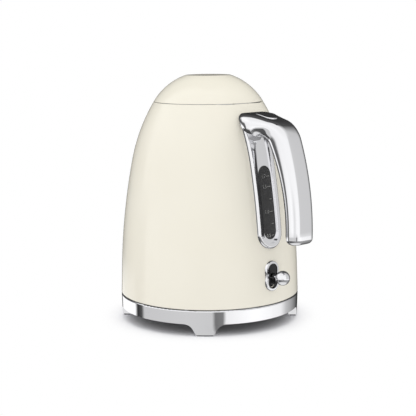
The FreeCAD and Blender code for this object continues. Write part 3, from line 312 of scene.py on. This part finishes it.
# Inside of the vessel, pins and tubes. Stainless steel sheet, tube and rod, pressed, welded and
# then brushed. The short scratches run one way and make its gloss streaky.
# The real scratches are finer; these are drawn wide enough to show.
stainless, tree, place = begin("Brushed stainless steel")
long_way = add(tree, "ShaderNodeMapping", {
    "Vector": place, "Scale": (scale_for(0.4), scale_for(12), scale_for(0.4))})
brush = add(tree, "ShaderNodeTexNoise", {"Vector": long_way.outputs[0], "Scale": 1.0, "Detail": 3.0})
tone = add(tree, "ShaderNodeMix", {
    "Factor": brush.outputs["Fac"], "A": linear("#A9A8A5"), "B": linear("#C9C8C4")}, data_type="RGBA")
streak = add(tree, "ShaderNodeMapRange", {"Value": brush.outputs["Fac"], "To Min": 0.22, "To Max": 0.42})
scratch = add(tree, "ShaderNodeBump", {
    "Height": brush.outputs["Fac"], "Strength": 0.15, "Distance": 0.00005})
skin = add(tree, "ShaderNodeBsdfPrincipled", {
    "Base Color": tone.outputs["Result"], "Metallic": 1.0, "Roughness": streak.outputs[0],
    "Normal": scratch.outputs[0]})
add(tree, "ShaderNodeOutputMaterial", {"Surface": skin.outputs[0]})
dress(stainless, "vessel_floor", "lid_liner", "steam_tube", "filter_mesh", "hinge_pin", "lever_pin",
      "heating_element")


# Filter gauze. Stainless wire woven over and under, held in the filter's frame. The real wires
# are finer; these are drawn at a pitch that still shows as a weave.
gauze_pitch = 0.0013
gauze_wire = 0.00022
wire_sides = 6
gauze_clear = 0.01
low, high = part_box("filter_mesh")
rows = int((high.z - low.z) / gauze_pitch)
columns = int((high.y - low.y) / gauze_pitch)
points = []
wires = []
for lines, steps, upright in ((columns, rows, True), (rows, columns, False)):
    for i in range(lines + 1):
        for j in range(steps + 1):
            y = low.y + (high.y - low.y) * ((i / lines) if upright else (j / steps))
            z = low.z + (high.z - low.z) * ((j / steps) if upright else (i / lines))
            before = Vector((low.x - gauze_clear, y, z))
            hit, spot = nodes["filter_mesh"].ray_cast(before, Vector((1, 0, 0)))[:2]
            if not hit:
                continue
            weave = gauze_wire / 2 * (1 if (i + j) % 2 == upright else -1)
            points.append(spot + Vector((gauze_wire / 2 + weave, 0, 0)))
            if j and len(points) > 1 and (points[-1] - points[-2]).length < 2 * gauze_pitch:
                wires.append((len(points) - 2, len(points) - 1))
gauze_mesh = bpy.data.meshes.new("filter_gauze")
gauze_mesh.from_pydata(points, wires, [])
gauze = bpy.data.objects.new("filter_gauze", gauze_mesh)
bpy.context.collection.objects.link(gauze)


def begin_tree(name, inputs):
    """New geometry tree with named inputs, and the identifier of each input."""
    tree = bpy.data.node_groups.new(name, "GeometryNodeTree")
    tree.interface.new_socket("Geometry", in_out="OUTPUT", socket_type="NodeSocketGeometry")
    tree.interface.new_socket("Geometry", in_out="INPUT", socket_type="NodeSocketGeometry")
    named = {}
    for label, kind in inputs.items():
        named[label] = tree.interface.new_socket(label, in_out="INPUT", socket_type=kind).identifier
    return tree, named


def grow(piece, tree, settings):
    """Run a node tree on a piece, and keep the result as its plain mesh."""
    modifier = piece.modifiers.new(tree.name, "NODES")
    modifier.node_group = tree
    for identifier, value in settings.items():
        modifier[identifier] = value
    bpy.context.view_layer.update()
    made = bpy.data.meshes.new_from_object(piece.evaluated_get(bpy.context.evaluated_depsgraph_get()))
    piece.modifiers.clear()
    piece.data = made


tree, named = begin_tree("Wires along edges", {
    "Wire radius": "NodeSocketFloat", "Metal": "NodeSocketMaterial"})
given = add(tree, "NodeGroupInput")
runs = add(tree, "GeometryNodeMeshToCurve", {"Mesh": given.outputs["Geometry"]})
ring = add(tree, "GeometryNodeCurvePrimitiveCircle", {
    "Resolution": wire_sides, "Radius": given.outputs["Wire radius"]})
drawn = add(tree, "GeometryNodeCurveToMesh", {
    "Curve": runs.outputs["Curve"], "Profile Curve": ring.outputs["Curve"]})
whole = add(tree, "GeometryNodeRealizeInstances", {"Geometry": drawn.outputs["Mesh"]})
dressed = add(tree, "GeometryNodeSetMaterial", {
    "Geometry": whole.outputs["Geometry"], "Material": given.outputs["Metal"]})
add(tree, "NodeGroupOutput", {"Geometry": dressed.outputs["Geometry"]})
grow(gauze, tree, {named["Wire radius"]: gauze_wire / 2, named["Metal"]: stainless})
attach(gauze, "kettle")
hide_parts("filter_mesh")


# Heat spreader. An aluminium disc, cast and then brazed under the vessel's floor. Casting
# leaves a grainy skin, so it looks dull and pitted beside the brushed steel.
aluminium, tree, place = begin("Cast aluminium")
grain = add(tree, "ShaderNodeTexNoise", {"Vector": place, "Scale": scale_for(1.5), "Detail": 4.0})
rough = add(tree, "ShaderNodeMapRange", {"Value": grain.outputs["Fac"], "To Min": 0.35, "To Max": 0.6})
pits = add(tree, "ShaderNodeBump", {"Height": grain.outputs["Fac"], "Strength": 0.4, "Distance": 0.0001})
skin = add(tree, "ShaderNodeBsdfPrincipled", {
    "Base Color": linear("#C4C5C7"), "Metallic": 1.0, "Roughness": rough.outputs[0],
    "Normal": pits.outputs[0]})
add(tree, "ShaderNodeOutputMaterial", {"Surface": skin.outputs[0]})
dress(aluminium, "heat_spreader")


# Mouth collar and filter frame. Grey plastic mouldings, one seated in the vessel's mouth and one
# behind the spout. Their grain is shallow, so they look smoother and glossier than the black ones.
# This grain too is drawn coarser than the real one.
grey_plastic, tree, place = begin("Moulded grey ABS")
grain = add(tree, "ShaderNodeTexNoise", {"Vector": place, "Scale": scale_for(0.9), "Detail": 2.0})
tone = add(tree, "ShaderNodeMix", {
    "Factor": grain.outputs["Fac"], "A": linear("#6E6E6F"), "B": linear("#787879")}, data_type="RGBA")
pores = add(tree, "ShaderNodeBump", {"Height": grain.outputs["Fac"], "Strength": 0.15, "Distance": 0.0001})
skin = add(tree, "ShaderNodeBsdfPrincipled", {
    "Base Color": tone.outputs["Result"], "Roughness": 0.35, "IOR": 1.53, "Normal": pores.outputs[0]})
add(tree, "ShaderNodeOutputMaterial", {"Surface": skin.outputs[0]})
dress(grey_plastic, "mouth_collar", "filter_frame")


# Springs and screws. Steel with a thin bright zinc plate, which looks slightly blue and cloudy.
# The button's spring is a coil of wire on a seat in the handle's cover; its copy rides with the kettle.
merge_distance = 1e-6
copy_crease = math.radians(35)
zinc, tree, place = begin("Bright zinc-plated steel")
cloud = add(tree, "ShaderNodeTexNoise", {"Vector": place, "Scale": scale_for(2.0), "Detail": 3.0})
tone = add(tree, "ShaderNodeMix", {
    "Factor": cloud.outputs["Fac"], "A": linear("#B9BCC0"), "B": linear("#CFD1D3")}, data_type="RGBA")
rough = add(tree, "ShaderNodeMapRange", {"Value": cloud.outputs["Fac"], "To Min": 0.18, "To Max": 0.36})
skin = add(tree, "ShaderNodeBsdfPrincipled", {
    "Base Color": tone.outputs["Result"], "Metallic": 1.0, "Roughness": rough.outputs[0]})
add(tree, "ShaderNodeOutputMaterial", {"Surface": skin.outputs[0]})
dress(zinc, "base_screws", "bottom_screws", "lid_screws", "handle_screws", "lid_spring", "button_spring")


def merged_copy(name, piece_name, moved=None):
    """Copy a CAD node as a piece of its own, with its loose triangles joined and its corners moved."""
    form = bmesh.new()
    form.from_mesh(nodes[name].data)
    bmesh.ops.remove_doubles(form, verts=form.verts, dist=merge_distance)
    if moved:
        for corner in form.verts:
            corner.co = moved(corner.co)
    mesh = bpy.data.meshes.new(piece_name)
    form.to_mesh(mesh)
    form.free()
    if "custom_normal" in mesh.attributes:
        mesh.attributes.remove(mesh.attributes["custom_normal"])
    mesh.shade_smooth()
    mesh.set_sharp_from_angle(angle=copy_crease)
    mesh.materials.clear()
    mesh.materials.append(nodes[name].data.materials[0])
    piece = bpy.data.objects.new(piece_name, mesh)
    bpy.context.collection.objects.link(piece)
    return piece


low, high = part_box("button_spring")
button_coil = merged_copy("button_spring", "button_coil")
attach(button_coil, "kettle")
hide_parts("button_spring")
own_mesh(button_coil)


# Screw sets. Pan-head screws with a cross recess, of the same zinc-plated steel. Rings of them hold
# the base's bottom, the kettle's bottom cover and the lid's liner, and two hold the handle's root
# from inside. Each stops at a turn of its own.
screw_head_radius = 0.0032
screw_head_height = 0.0016
screw_radius = 0.0015
crown_share = 0.78
recess_share = 0.26
recess_lift = 0.75
spin_seed = 7
head_down = (math.pi, 0.0, 0.0)
head_inward = (0.0, -math.pi / 2, 0.0)
# Each ring of screws: its radius, first angle and number, the height under the heads, and the length.
screw_rings = {
    "base": (0.060, 45, 4, 0.0122, 0.0063),
    "kettle": (0.074, 60, 3, 0.0236, 0.0164),
    "lid": (0.032, 60, 3, 0.2135, 0.0098),
}
handle_screw_x = 0.0560
handle_screw_y = 0.0095
handle_screw_z = 0.1975
handle_screw_length = 0.017
stands_for = {"base": ["base_screws"], "kettle": ["bottom_screws", "handle_screws"], "lid": ["lid_screws"]}
tree, named = begin_tree("Pan-head screws", {
    "Head radius": "NodeSocketFloat", "Head height": "NodeSocketFloat", "Shank radius": "NodeSocketFloat",
    "Metal": "NodeSocketMaterial"})
given = add(tree, "NodeGroupInput")
crown = add(tree, "ShaderNodeMath", {
    0: given.outputs["Head radius"], 1: crown_share}, operation="MULTIPLY")
head = add(tree, "GeometryNodeMeshCone", {
    "Vertices": 40, "Side Segments": 3, "Radius Top": crown.outputs[0],
    "Radius Bottom": given.outputs["Head radius"], "Depth": given.outputs["Head height"]})
recess_width = add(tree, "ShaderNodeMath", {
    0: given.outputs["Head radius"], 1: recess_share}, operation="MULTIPLY")
recess_size = add(tree, "ShaderNodeCombineXYZ", {
    "X": given.outputs["Head radius"], "Y": recess_width.outputs[0], "Z": given.outputs["Head height"]})
recess_height = add(tree, "ShaderNodeMath", {
    0: given.outputs["Head height"], 1: recess_lift}, operation="MULTIPLY")
recess_place = add(tree, "ShaderNodeCombineXYZ", {"Z": recess_height.outputs[0]})
bar = add(tree, "GeometryNodeMeshCube", {"Size": recess_size.outputs[0]})
recess = add(tree, "GeometryNodeMeshBoolean", {"Mesh 1": head.outputs["Mesh"]}, operation="DIFFERENCE")
for angle in (0.0, math.pi / 2):
    cross_bar = add(tree, "GeometryNodeTransform", {
        "Geometry": bar.outputs["Mesh"], "Translation": recess_place.outputs[0],
        "Rotation": (0.0, 0.0, angle)})
    tree.links.new(cross_bar.outputs["Geometry"], recess.inputs["Mesh 2"])
shank = add(tree, "GeometryNodeMeshCylinder", {
    "Vertices": 24, "Radius": given.outputs["Shank radius"], "Depth": 1.0})
shank = add(tree, "GeometryNodeTransform", {
    "Geometry": shank.outputs["Mesh"], "Translation": (0.0, 0.0, -0.5)})
each_turn = add(tree, "GeometryNodeInputNamedAttribute", {"Name": "turn"}, data_type="FLOAT_VECTOR")
each_length = add(tree, "GeometryNodeInputNamedAttribute", {"Name": "length"}, data_type="FLOAT")
stretch = add(tree, "ShaderNodeCombineXYZ", {"X": 1.0, "Y": 1.0, "Z": each_length.outputs["Attribute"]})
heads = add(tree, "GeometryNodeInstanceOnPoints", {
    "Points": given.outputs["Geometry"], "Instance": recess.outputs["Mesh"],
    "Rotation": each_turn.outputs["Attribute"]})
spin = add(tree, "FunctionNodeRandomValue", {
    "Min": (0.0, 0.0, 0.0), "Max": (0.0, 0.0, math.pi), "Seed": spin_seed}, data_type="FLOAT_VECTOR")
heads = add(tree, "GeometryNodeRotateInstances", {
    "Instances": heads.outputs["Instances"], "Rotation": spin.outputs["Value"]})
shanks = add(tree, "GeometryNodeInstanceOnPoints", {
    "Points": given.outputs["Geometry"], "Instance": shank.outputs["Geometry"],
    "Rotation": each_turn.outputs["Attribute"], "Scale": stretch.outputs[0]})
both = add(tree, "GeometryNodeJoinGeometry")
tree.links.new(heads.outputs["Instances"], both.inputs["Geometry"])
tree.links.new(shanks.outputs["Instances"], both.inputs["Geometry"])
whole = add(tree, "GeometryNodeRealizeInstances", {"Geometry": both.outputs["Geometry"]})
dressed = add(tree, "GeometryNodeSetMaterial", {
    "Geometry": whole.outputs["Geometry"], "Material": given.outputs["Metal"]})
add(tree, "NodeGroupOutput", {"Geometry": dressed.outputs["Geometry"]})
for body, (radius, first, count, z, ring_length) in screw_rings.items():
    angles = [math.radians(first + 360 / count * i) for i in range(count)]
    screws = [((radius * math.cos(a), radius * math.sin(a), z), head_down, ring_length) for a in angles]
    if body == "kettle":
        for y in (-handle_screw_y, handle_screw_y):
            screws.append(((handle_screw_x, y, handle_screw_z), head_inward, handle_screw_length))
    mesh = bpy.data.meshes.new(body + "_screw_set")
    mesh.from_pydata([seat for seat, turn, length in screws], [], [])
    mesh.attributes.new("turn", "FLOAT_VECTOR", "POINT")
    mesh.attributes.new("length", "FLOAT", "POINT")
    for i, (seat, turn, length) in enumerate(screws):
        mesh.attributes["turn"].data[i].vector = turn
        mesh.attributes["length"].data[i].value = length
    screw_set = bpy.data.objects.new(body + "_screw_set", mesh)
    bpy.context.collection.objects.link(screw_set)
    grow(screw_set, tree, {
        named["Head radius"]: screw_head_radius, named["Head height"]: screw_head_height,
        named["Shank radius"]: screw_radius, named["Metal"]: zinc})
    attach(screw_set, body)
    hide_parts(*stands_for[body])


# Handle and lid button. A hollow zinc casting, polished and plated like the base ring, with soft
# round edges. Its flared root is screwed to the shell from inside, and its lower end hangs free.
# The lid's button, plated too, sits in a pocket in the top of the root.
dress(chrome, "handle", "lid_button")
handle_half_width = 0.014
handle_corner = 0.0086
handle_crease = math.radians(40)
flare_start = 0.108
flare_radius = 0.062
tip_round = 0.005
nose_length = 0.014
nose_side = 0.010
nose_depth = 0.0035
root_sunk = 0.0003
root_climb = math.tan(math.radians(7.0))
round_step = 15
grip_steps = 24
bend_steps = 16
root_steps = 8
body_clear = 0.3
# Arcs in the handle's middle plane: the centre's x and z, the radius, the first and last angle.
outer_grip = (-0.11602, 0.100, 0.250, -1.26, 20.2)
outer_bend = (0.0933, 0.1770, 0.027, 20.2, 79.8)
inner_grip = (-0.0498, 0.100, 0.1666, -1.90, 29.0)
inner_bend = (0.0840, 0.1742, 0.0136, 29.0, 86.6)
# Straight ends toward the body: how near they come to the kettle's axis, and their rise in degrees.
outer_root = (0.0765, 12.0)
inner_root = (0.0825, 0.0)


def bow(centre_x, centre_z, radius, start, end, steps):
    """Points along an arc in the handle's middle plane, between two angles in degrees."""
    angles = [math.radians(start + (end - start) * i / steps) for i in range(steps + 1)]
    return [Vector((centre_x + radius * math.cos(a), 0.0, centre_z + radius * math.sin(a))) for a in angles]


def straight(line, far_x, slope, steps):
    """Points that carry a line on toward the body, rising at a slope in degrees."""
    away = Vector((far_x - line[-1].x, 0.0, (line[-1].x - far_x) * math.tan(math.radians(slope))))
    return [line[-1] + away * (i + 1) / steps for i in range(steps)]


def section(outer, inner, inset=0.0, side_inset=0.0, steps=8):
    """Rectangle with rounded corners, from the handle's inner line to its outer line."""
    middle = (outer + inner) / 2
    outward = (outer - inner).normalized()
    flare = max(flare_start - middle.x, 0.0)
    flared_half_width = handle_half_width + flare_radius - math.sqrt(flare_radius ** 2 - flare ** 2)
    corner = handle_corner - inset
    side = flared_half_width - handle_corner - side_inset
    rise = (outer - inner).length / 2 - handle_corner
    points = []
    for side_sign, rise_sign, start in ((1, 1, 0), (-1, 1, 90), (-1, -1, 180), (1, -1, 270)):
        for i in range(steps + 1):
            angle = math.radians(start + 90 * i / steps)
            across = Vector((0.0, side * side_sign + corner * math.cos(angle), 0.0))
            points.append(middle + across + outward * (rise * rise_sign + corner * math.sin(angle)))
    return points


def skin_x(y, z):
    """How far out the round body's skin lies on the handle's side, read where the shell has no holes."""
    outside = Vector((0.0, body_clear, z))
    spot = nodes["body_shell"].ray_cast(outside, Vector((0.0, -1.0, 0.0)))[1]
    return math.sqrt(spot.y ** 2 - y ** 2)


outer_line = bow(*outer_grip, grip_steps) + bow(*outer_bend, bend_steps)[1:]
inner_line = bow(*inner_grip, grip_steps) + bow(*inner_bend, bend_steps)[1:]
outer_line += straight(outer_line, *outer_root, root_steps)
inner_line += straight(inner_line, *inner_root, root_steps)
rings = []
for degrees in range(0, 90, round_step):
    angle = math.radians(degrees)
    drop = Vector((0.0, 0.0, -tip_round * math.cos(angle)))
    inset = tip_round * (1 - math.sin(angle))
    rings.append([point + drop for point in section(outer_line[0], inner_line[0], inset)])
rings += [section(outer, inner) for outer, inner in zip(outer_line, inner_line)]
for degrees in range(90, -1, -round_step):
    angle = math.radians(degrees)
    inset = nose_depth * (1 - math.sin(angle))
    side_inset = (nose_side - nose_depth) * (1 - math.sin(angle))
    back = nose_length * (1 - math.cos(angle)) - root_sunk
    ring = []
    for point in section(outer_line[-1], inner_line[-1], inset, side_inset):
        z = point.z + root_climb * (point.x - skin_x(point.y, point.z))
        ring.append(Vector((skin_x(point.y, z) + back, point.y, z - root_climb * back)))
    rings.append(ring)
handle_form = bmesh.new()
loops = [[handle_form.verts.new(point) for point in ring] for ring in rings]
ring_size = len(loops[0])
for near, far in zip(loops, loops[1:]):
    for i in range(ring_size):
        following = (i + 1) % ring_size
        handle_form.faces.new((near[i], near[following], far[following], far[i]))
for loop in (loops[0], loops[-1]):
    hub = handle_form.verts.new(sum((corner.co for corner in loop), Vector()) / ring_size)
    hub.co.x = max(hub.co.x, skin_x(0.0, hub.co.z) - root_sunk)
    for i in range(ring_size):
        handle_form.faces.new((loop[i], loop[(i + 1) % ring_size], hub))
bmesh.ops.remove_doubles(handle_form, verts=handle_form.verts, dist=merge_distance)
bmesh.ops.recalc_face_normals(handle_form, faces=handle_form.faces)
handle_mesh = bpy.data.meshes.new("handle_casting")
handle_form.to_mesh(handle_mesh)
handle_form.free()
handle_mesh.materials.append(chrome)
handle = bpy.data.objects.new("handle_casting", handle_mesh)
bpy.context.collection.objects.link(handle)

pocket_gap = 0.00035
pocket_depth = 0.0102
pocket_over = 0.01
pocket_round = 0.0068
pocket_round_steps = 10
low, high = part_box("lid_button")
pocket_form = bmesh.new()
bmesh.ops.create_cube(pocket_form, size=1.0)
for corner in pocket_form.verts:
    corner.co.x = (low.x + high.x) / 2 + corner.co.x * (high.x - low.x + 2 * pocket_gap)
    corner.co.y = corner.co.y * (high.y - low.y + 2 * pocket_gap)
    corner.co.z = high.z + (pocket_over if corner.co.z > 0 else -pocket_depth)
upright = [
    edge for edge in pocket_form.edges
    if abs(edge.verts[0].co.z - edge.verts[1].co.z) > pocket_depth]
bmesh.ops.bevel(pocket_form, geom=upright, offset=pocket_round, segments=pocket_round_steps, profile=0.5,
                affect="EDGES")
pocket_mesh = bpy.data.meshes.new("button_pocket")
pocket_form.to_mesh(pocket_mesh)
pocket_form.free()
pocket = bpy.data.objects.new("button_pocket", pocket_mesh)
bpy.context.collection.objects.link(pocket)
cut = handle.modifiers.new("Button pocket", "BOOLEAN")
cut.operation = "DIFFERENCE"
cut.solver = "EXACT"
cut.object = pocket
bpy.context.view_layer.update()
handle.data = bpy.data.meshes.new_from_object(handle.evaluated_get(bpy.context.evaluated_depsgraph_get()))
handle.modifiers.clear()
bpy.data.objects.remove(pocket)
handle.data.shade_smooth()
handle.data.set_sharp_from_angle(angle=handle_crease)
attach(handle, "kettle")
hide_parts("handle")


# Water gauge. A plated frame let into the back of the shell, round a smoked clear window with a
# rubber seal behind it. The window is moulded in a polished tool, so it is glossy and shows dark.
smoked, tree, place = begin("Smoked clear SAN plastic")
flow = add(tree, "ShaderNodeTexNoise", {"Vector": place, "Scale": scale_for(20), "Detail": 2.0})
tone = add(tree, "ShaderNodeMix", {
    "Factor": flow.outputs["Fac"], "A": linear("#2F3034"), "B": linear("#393A3E")}, data_type="RGBA")
skin = add(tree, "ShaderNodeBsdfPrincipled", {
    "Base Color": tone.outputs["Result"], "Roughness": 0.06, "IOR": 1.57, "Transmission Weight": 0.85})
add(tree, "ShaderNodeOutputMaterial", {"Surface": skin.outputs[0]})
dress(smoked, "gauge_lens")
dress(chrome, "gauge_bezel")


# Gauge marks. White pad print on the window's face: strokes for the levels and a number beside each
# longer one. The ink is matt and slightly uneven, so the print looks dry on the glossy plastic.
ink_lift = 0.00004
stroke_height = 0.0005
stroke_end = 0.0062
long_stroke_start = 0.0022
short_stroke_start = 0.0035
stroke_steps = 6
number_size = 0.0046
number_end = 0.0012
lens_clear = 0.2
# Height of each level in litres, from the vessel's own volume.
litre_heights = {0.5: 0.0925, 0.75: 0.1037, 1.0: 0.1152, 1.25: 0.1269, 1.5: 0.1389, 1.7: 0.1487}
numbered_litres = (0.5, 1.0, 1.5, 1.7)
ink, tree, place = begin("White pad-print ink")
speckle = add(tree, "ShaderNodeTexNoise", {"Vector": place, "Scale": scale_for(0.3), "Detail": 2.0})
tone = add(tree, "ShaderNodeMix", {
    "Factor": speckle.outputs["Fac"], "A": linear("#8F8F8D"), "B": linear("#A8A8A5")}, data_type="RGBA")
skin = add(tree, "ShaderNodeBsdfPrincipled", {
    "Base Color": tone.outputs["Result"], "Roughness": 0.65, "IOR": 1.5})
add(tree, "ShaderNodeOutputMaterial", {"Surface": skin.outputs[0]})
print_form = bmesh.new()
for litres, z in litre_heights.items():
    numbered = litres in numbered_litres
    start = long_stroke_start if numbered else short_stroke_start
    lower = z - stroke_height / 2
    upper = z + stroke_height / 2
    for i in range(stroke_steps):
        left, right = [start + (stroke_end - start) * (i + k) / stroke_steps for k in (0, 1)]
        corners = [(0, left, lower), (0, right, lower), (0, right, upper), (0, left, upper)]
        print_form.faces.new([print_form.verts.new(corner) for corner in corners])
    if numbered:
        number = bpy.data.curves.new("litres", "FONT")
        number.body = f"{litres:.1f}"
        number.size = number_size
        number.align_x = "RIGHT"
        number.align_y = "CENTER"
        number.resolution_u = 3
        figures = bpy.data.objects.new("litres", number)
        shape = bpy.data.meshes.new_from_object(figures)
        corners = [print_form.verts.new((0, v.co.x + number_end, v.co.y + z)) for v in shape.vertices]
        for polygon in shape.polygons:
            print_form.faces.new([corners[i] for i in polygon.vertices])
        bpy.data.objects.remove(figures)
bmesh.ops.remove_doubles(print_form, verts=print_form.verts, dist=merge_distance)
for corner in print_form.verts:
    outside = Vector((lens_clear, corner.co.y, corner.co.z))
    spot = nodes["gauge_lens"].ray_cast(outside, Vector((-1, 0, 0)))[1]
    corner.co.x = spot.x + ink_lift
bmesh.ops.recalc_face_normals(print_form, faces=print_form.faces)
for face in print_form.faces:
    if face.normal.x < 0:
        face.normal_flip()
print_mesh = bpy.data.meshes.new("gauge_print")
print_form.to_mesh(print_mesh)
print_form.free()
print_mesh.materials.append(ink)
gauge_print = bpy.data.objects.new("gauge_print", print_mesh)
bpy.context.collection.objects.link(gauge_print)
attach(gauge_print, "kettle")


# Switch. A plated plate with a narrow rim round a black filling, and a plated lever with a ball.
# Plate and filling clip into the shell, and the lever comes out between the filling's halves. The
# filling is moulded in a polished tool, so it looks deep black with a soft shine.
plate_half_width = 0.0085
plate_middle_z = 0.0535
plate_spine = 0.006
cast_rim = 0.0039
seen_rim = 0.0023
filling_margin = 0.001
skirt_radius = 0.0897
gloss_black, tree, place = begin("Polished black ABS")
flow = add(tree, "ShaderNodeTexNoise", {"Vector": place, "Scale": scale_for(15), "Detail": 2.0})
tone = add(tree, "ShaderNodeMix", {
    "Factor": flow.outputs["Fac"], "A": linear("#08080A"), "B": linear("#0E0E10")}, data_type="RGBA")
gloss = add(tree, "ShaderNodeMapRange", {"Value": flow.outputs["Fac"], "To Min": 0.16, "To Max": 0.24})
skin = add(tree, "ShaderNodeBsdfPrincipled", {
    "Base Color": tone.outputs["Result"], "Roughness": gloss.outputs[0], "IOR": 1.45})
add(tree, "ShaderNodeOutputMaterial", {"Surface": skin.outputs[0]})
dress(chrome, "switch_plate", "lever_arm", "lever_ball")
dress(gloss_black, "switch_insert")


def spread(corner, new_distance):
    """Move a corner in or out from the plate's upright middle line, along the round skirt."""
    x, y, z = corner
    middle_z = min(max(z, plate_middle_z - plate_spine), plate_middle_z + plate_spine)
    distance = math.hypot(y, z - middle_z)
    if distance <= merge_distance:
        return corner
    grown = new_distance(distance) / distance
    new_y = y * grown
    sunk = math.sqrt(skirt_radius ** 2 - new_y ** 2) - math.sqrt(skirt_radius ** 2 - y ** 2)
    return Vector((x + sunk, new_y, middle_z + (z - middle_z) * grown))


def rim_distance(distance):
    """Narrow the plate's rim from its cast width to the width that shows."""
    return plate_half_width - (plate_half_width - distance) * seen_rim / cast_rim


def filling_distance(distance):
    """Widen the filling until it meets the narrow rim."""
    growth = (plate_half_width - seen_rim) / (plate_half_width - cast_rim)
    return min(distance * growth, plate_half_width - filling_margin)


rim = merged_copy("switch_plate", "switch_rim", lambda corner: spread(corner, rim_distance))
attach(rim, "kettle")
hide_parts("switch_plate")
filling = merged_copy("switch_insert", "switch_filling", lambda corner: spread(corner, filling_distance))
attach(filling, "kettle")
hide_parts("switch_insert")


# What the plating mirrors. Plated pieces and the window show in the chrome, as the tent does. The
# enamel and the inside stay out of its mirror, which leaves the chrome with clean dark edges.
plated = ("base_ring", "lid_button", "gauge_bezel", "gauge_lens", "switch_plate", "lever_arm", "lever_ball")
for name, node in nodes.items():
    node.visible_glossy = name in plated
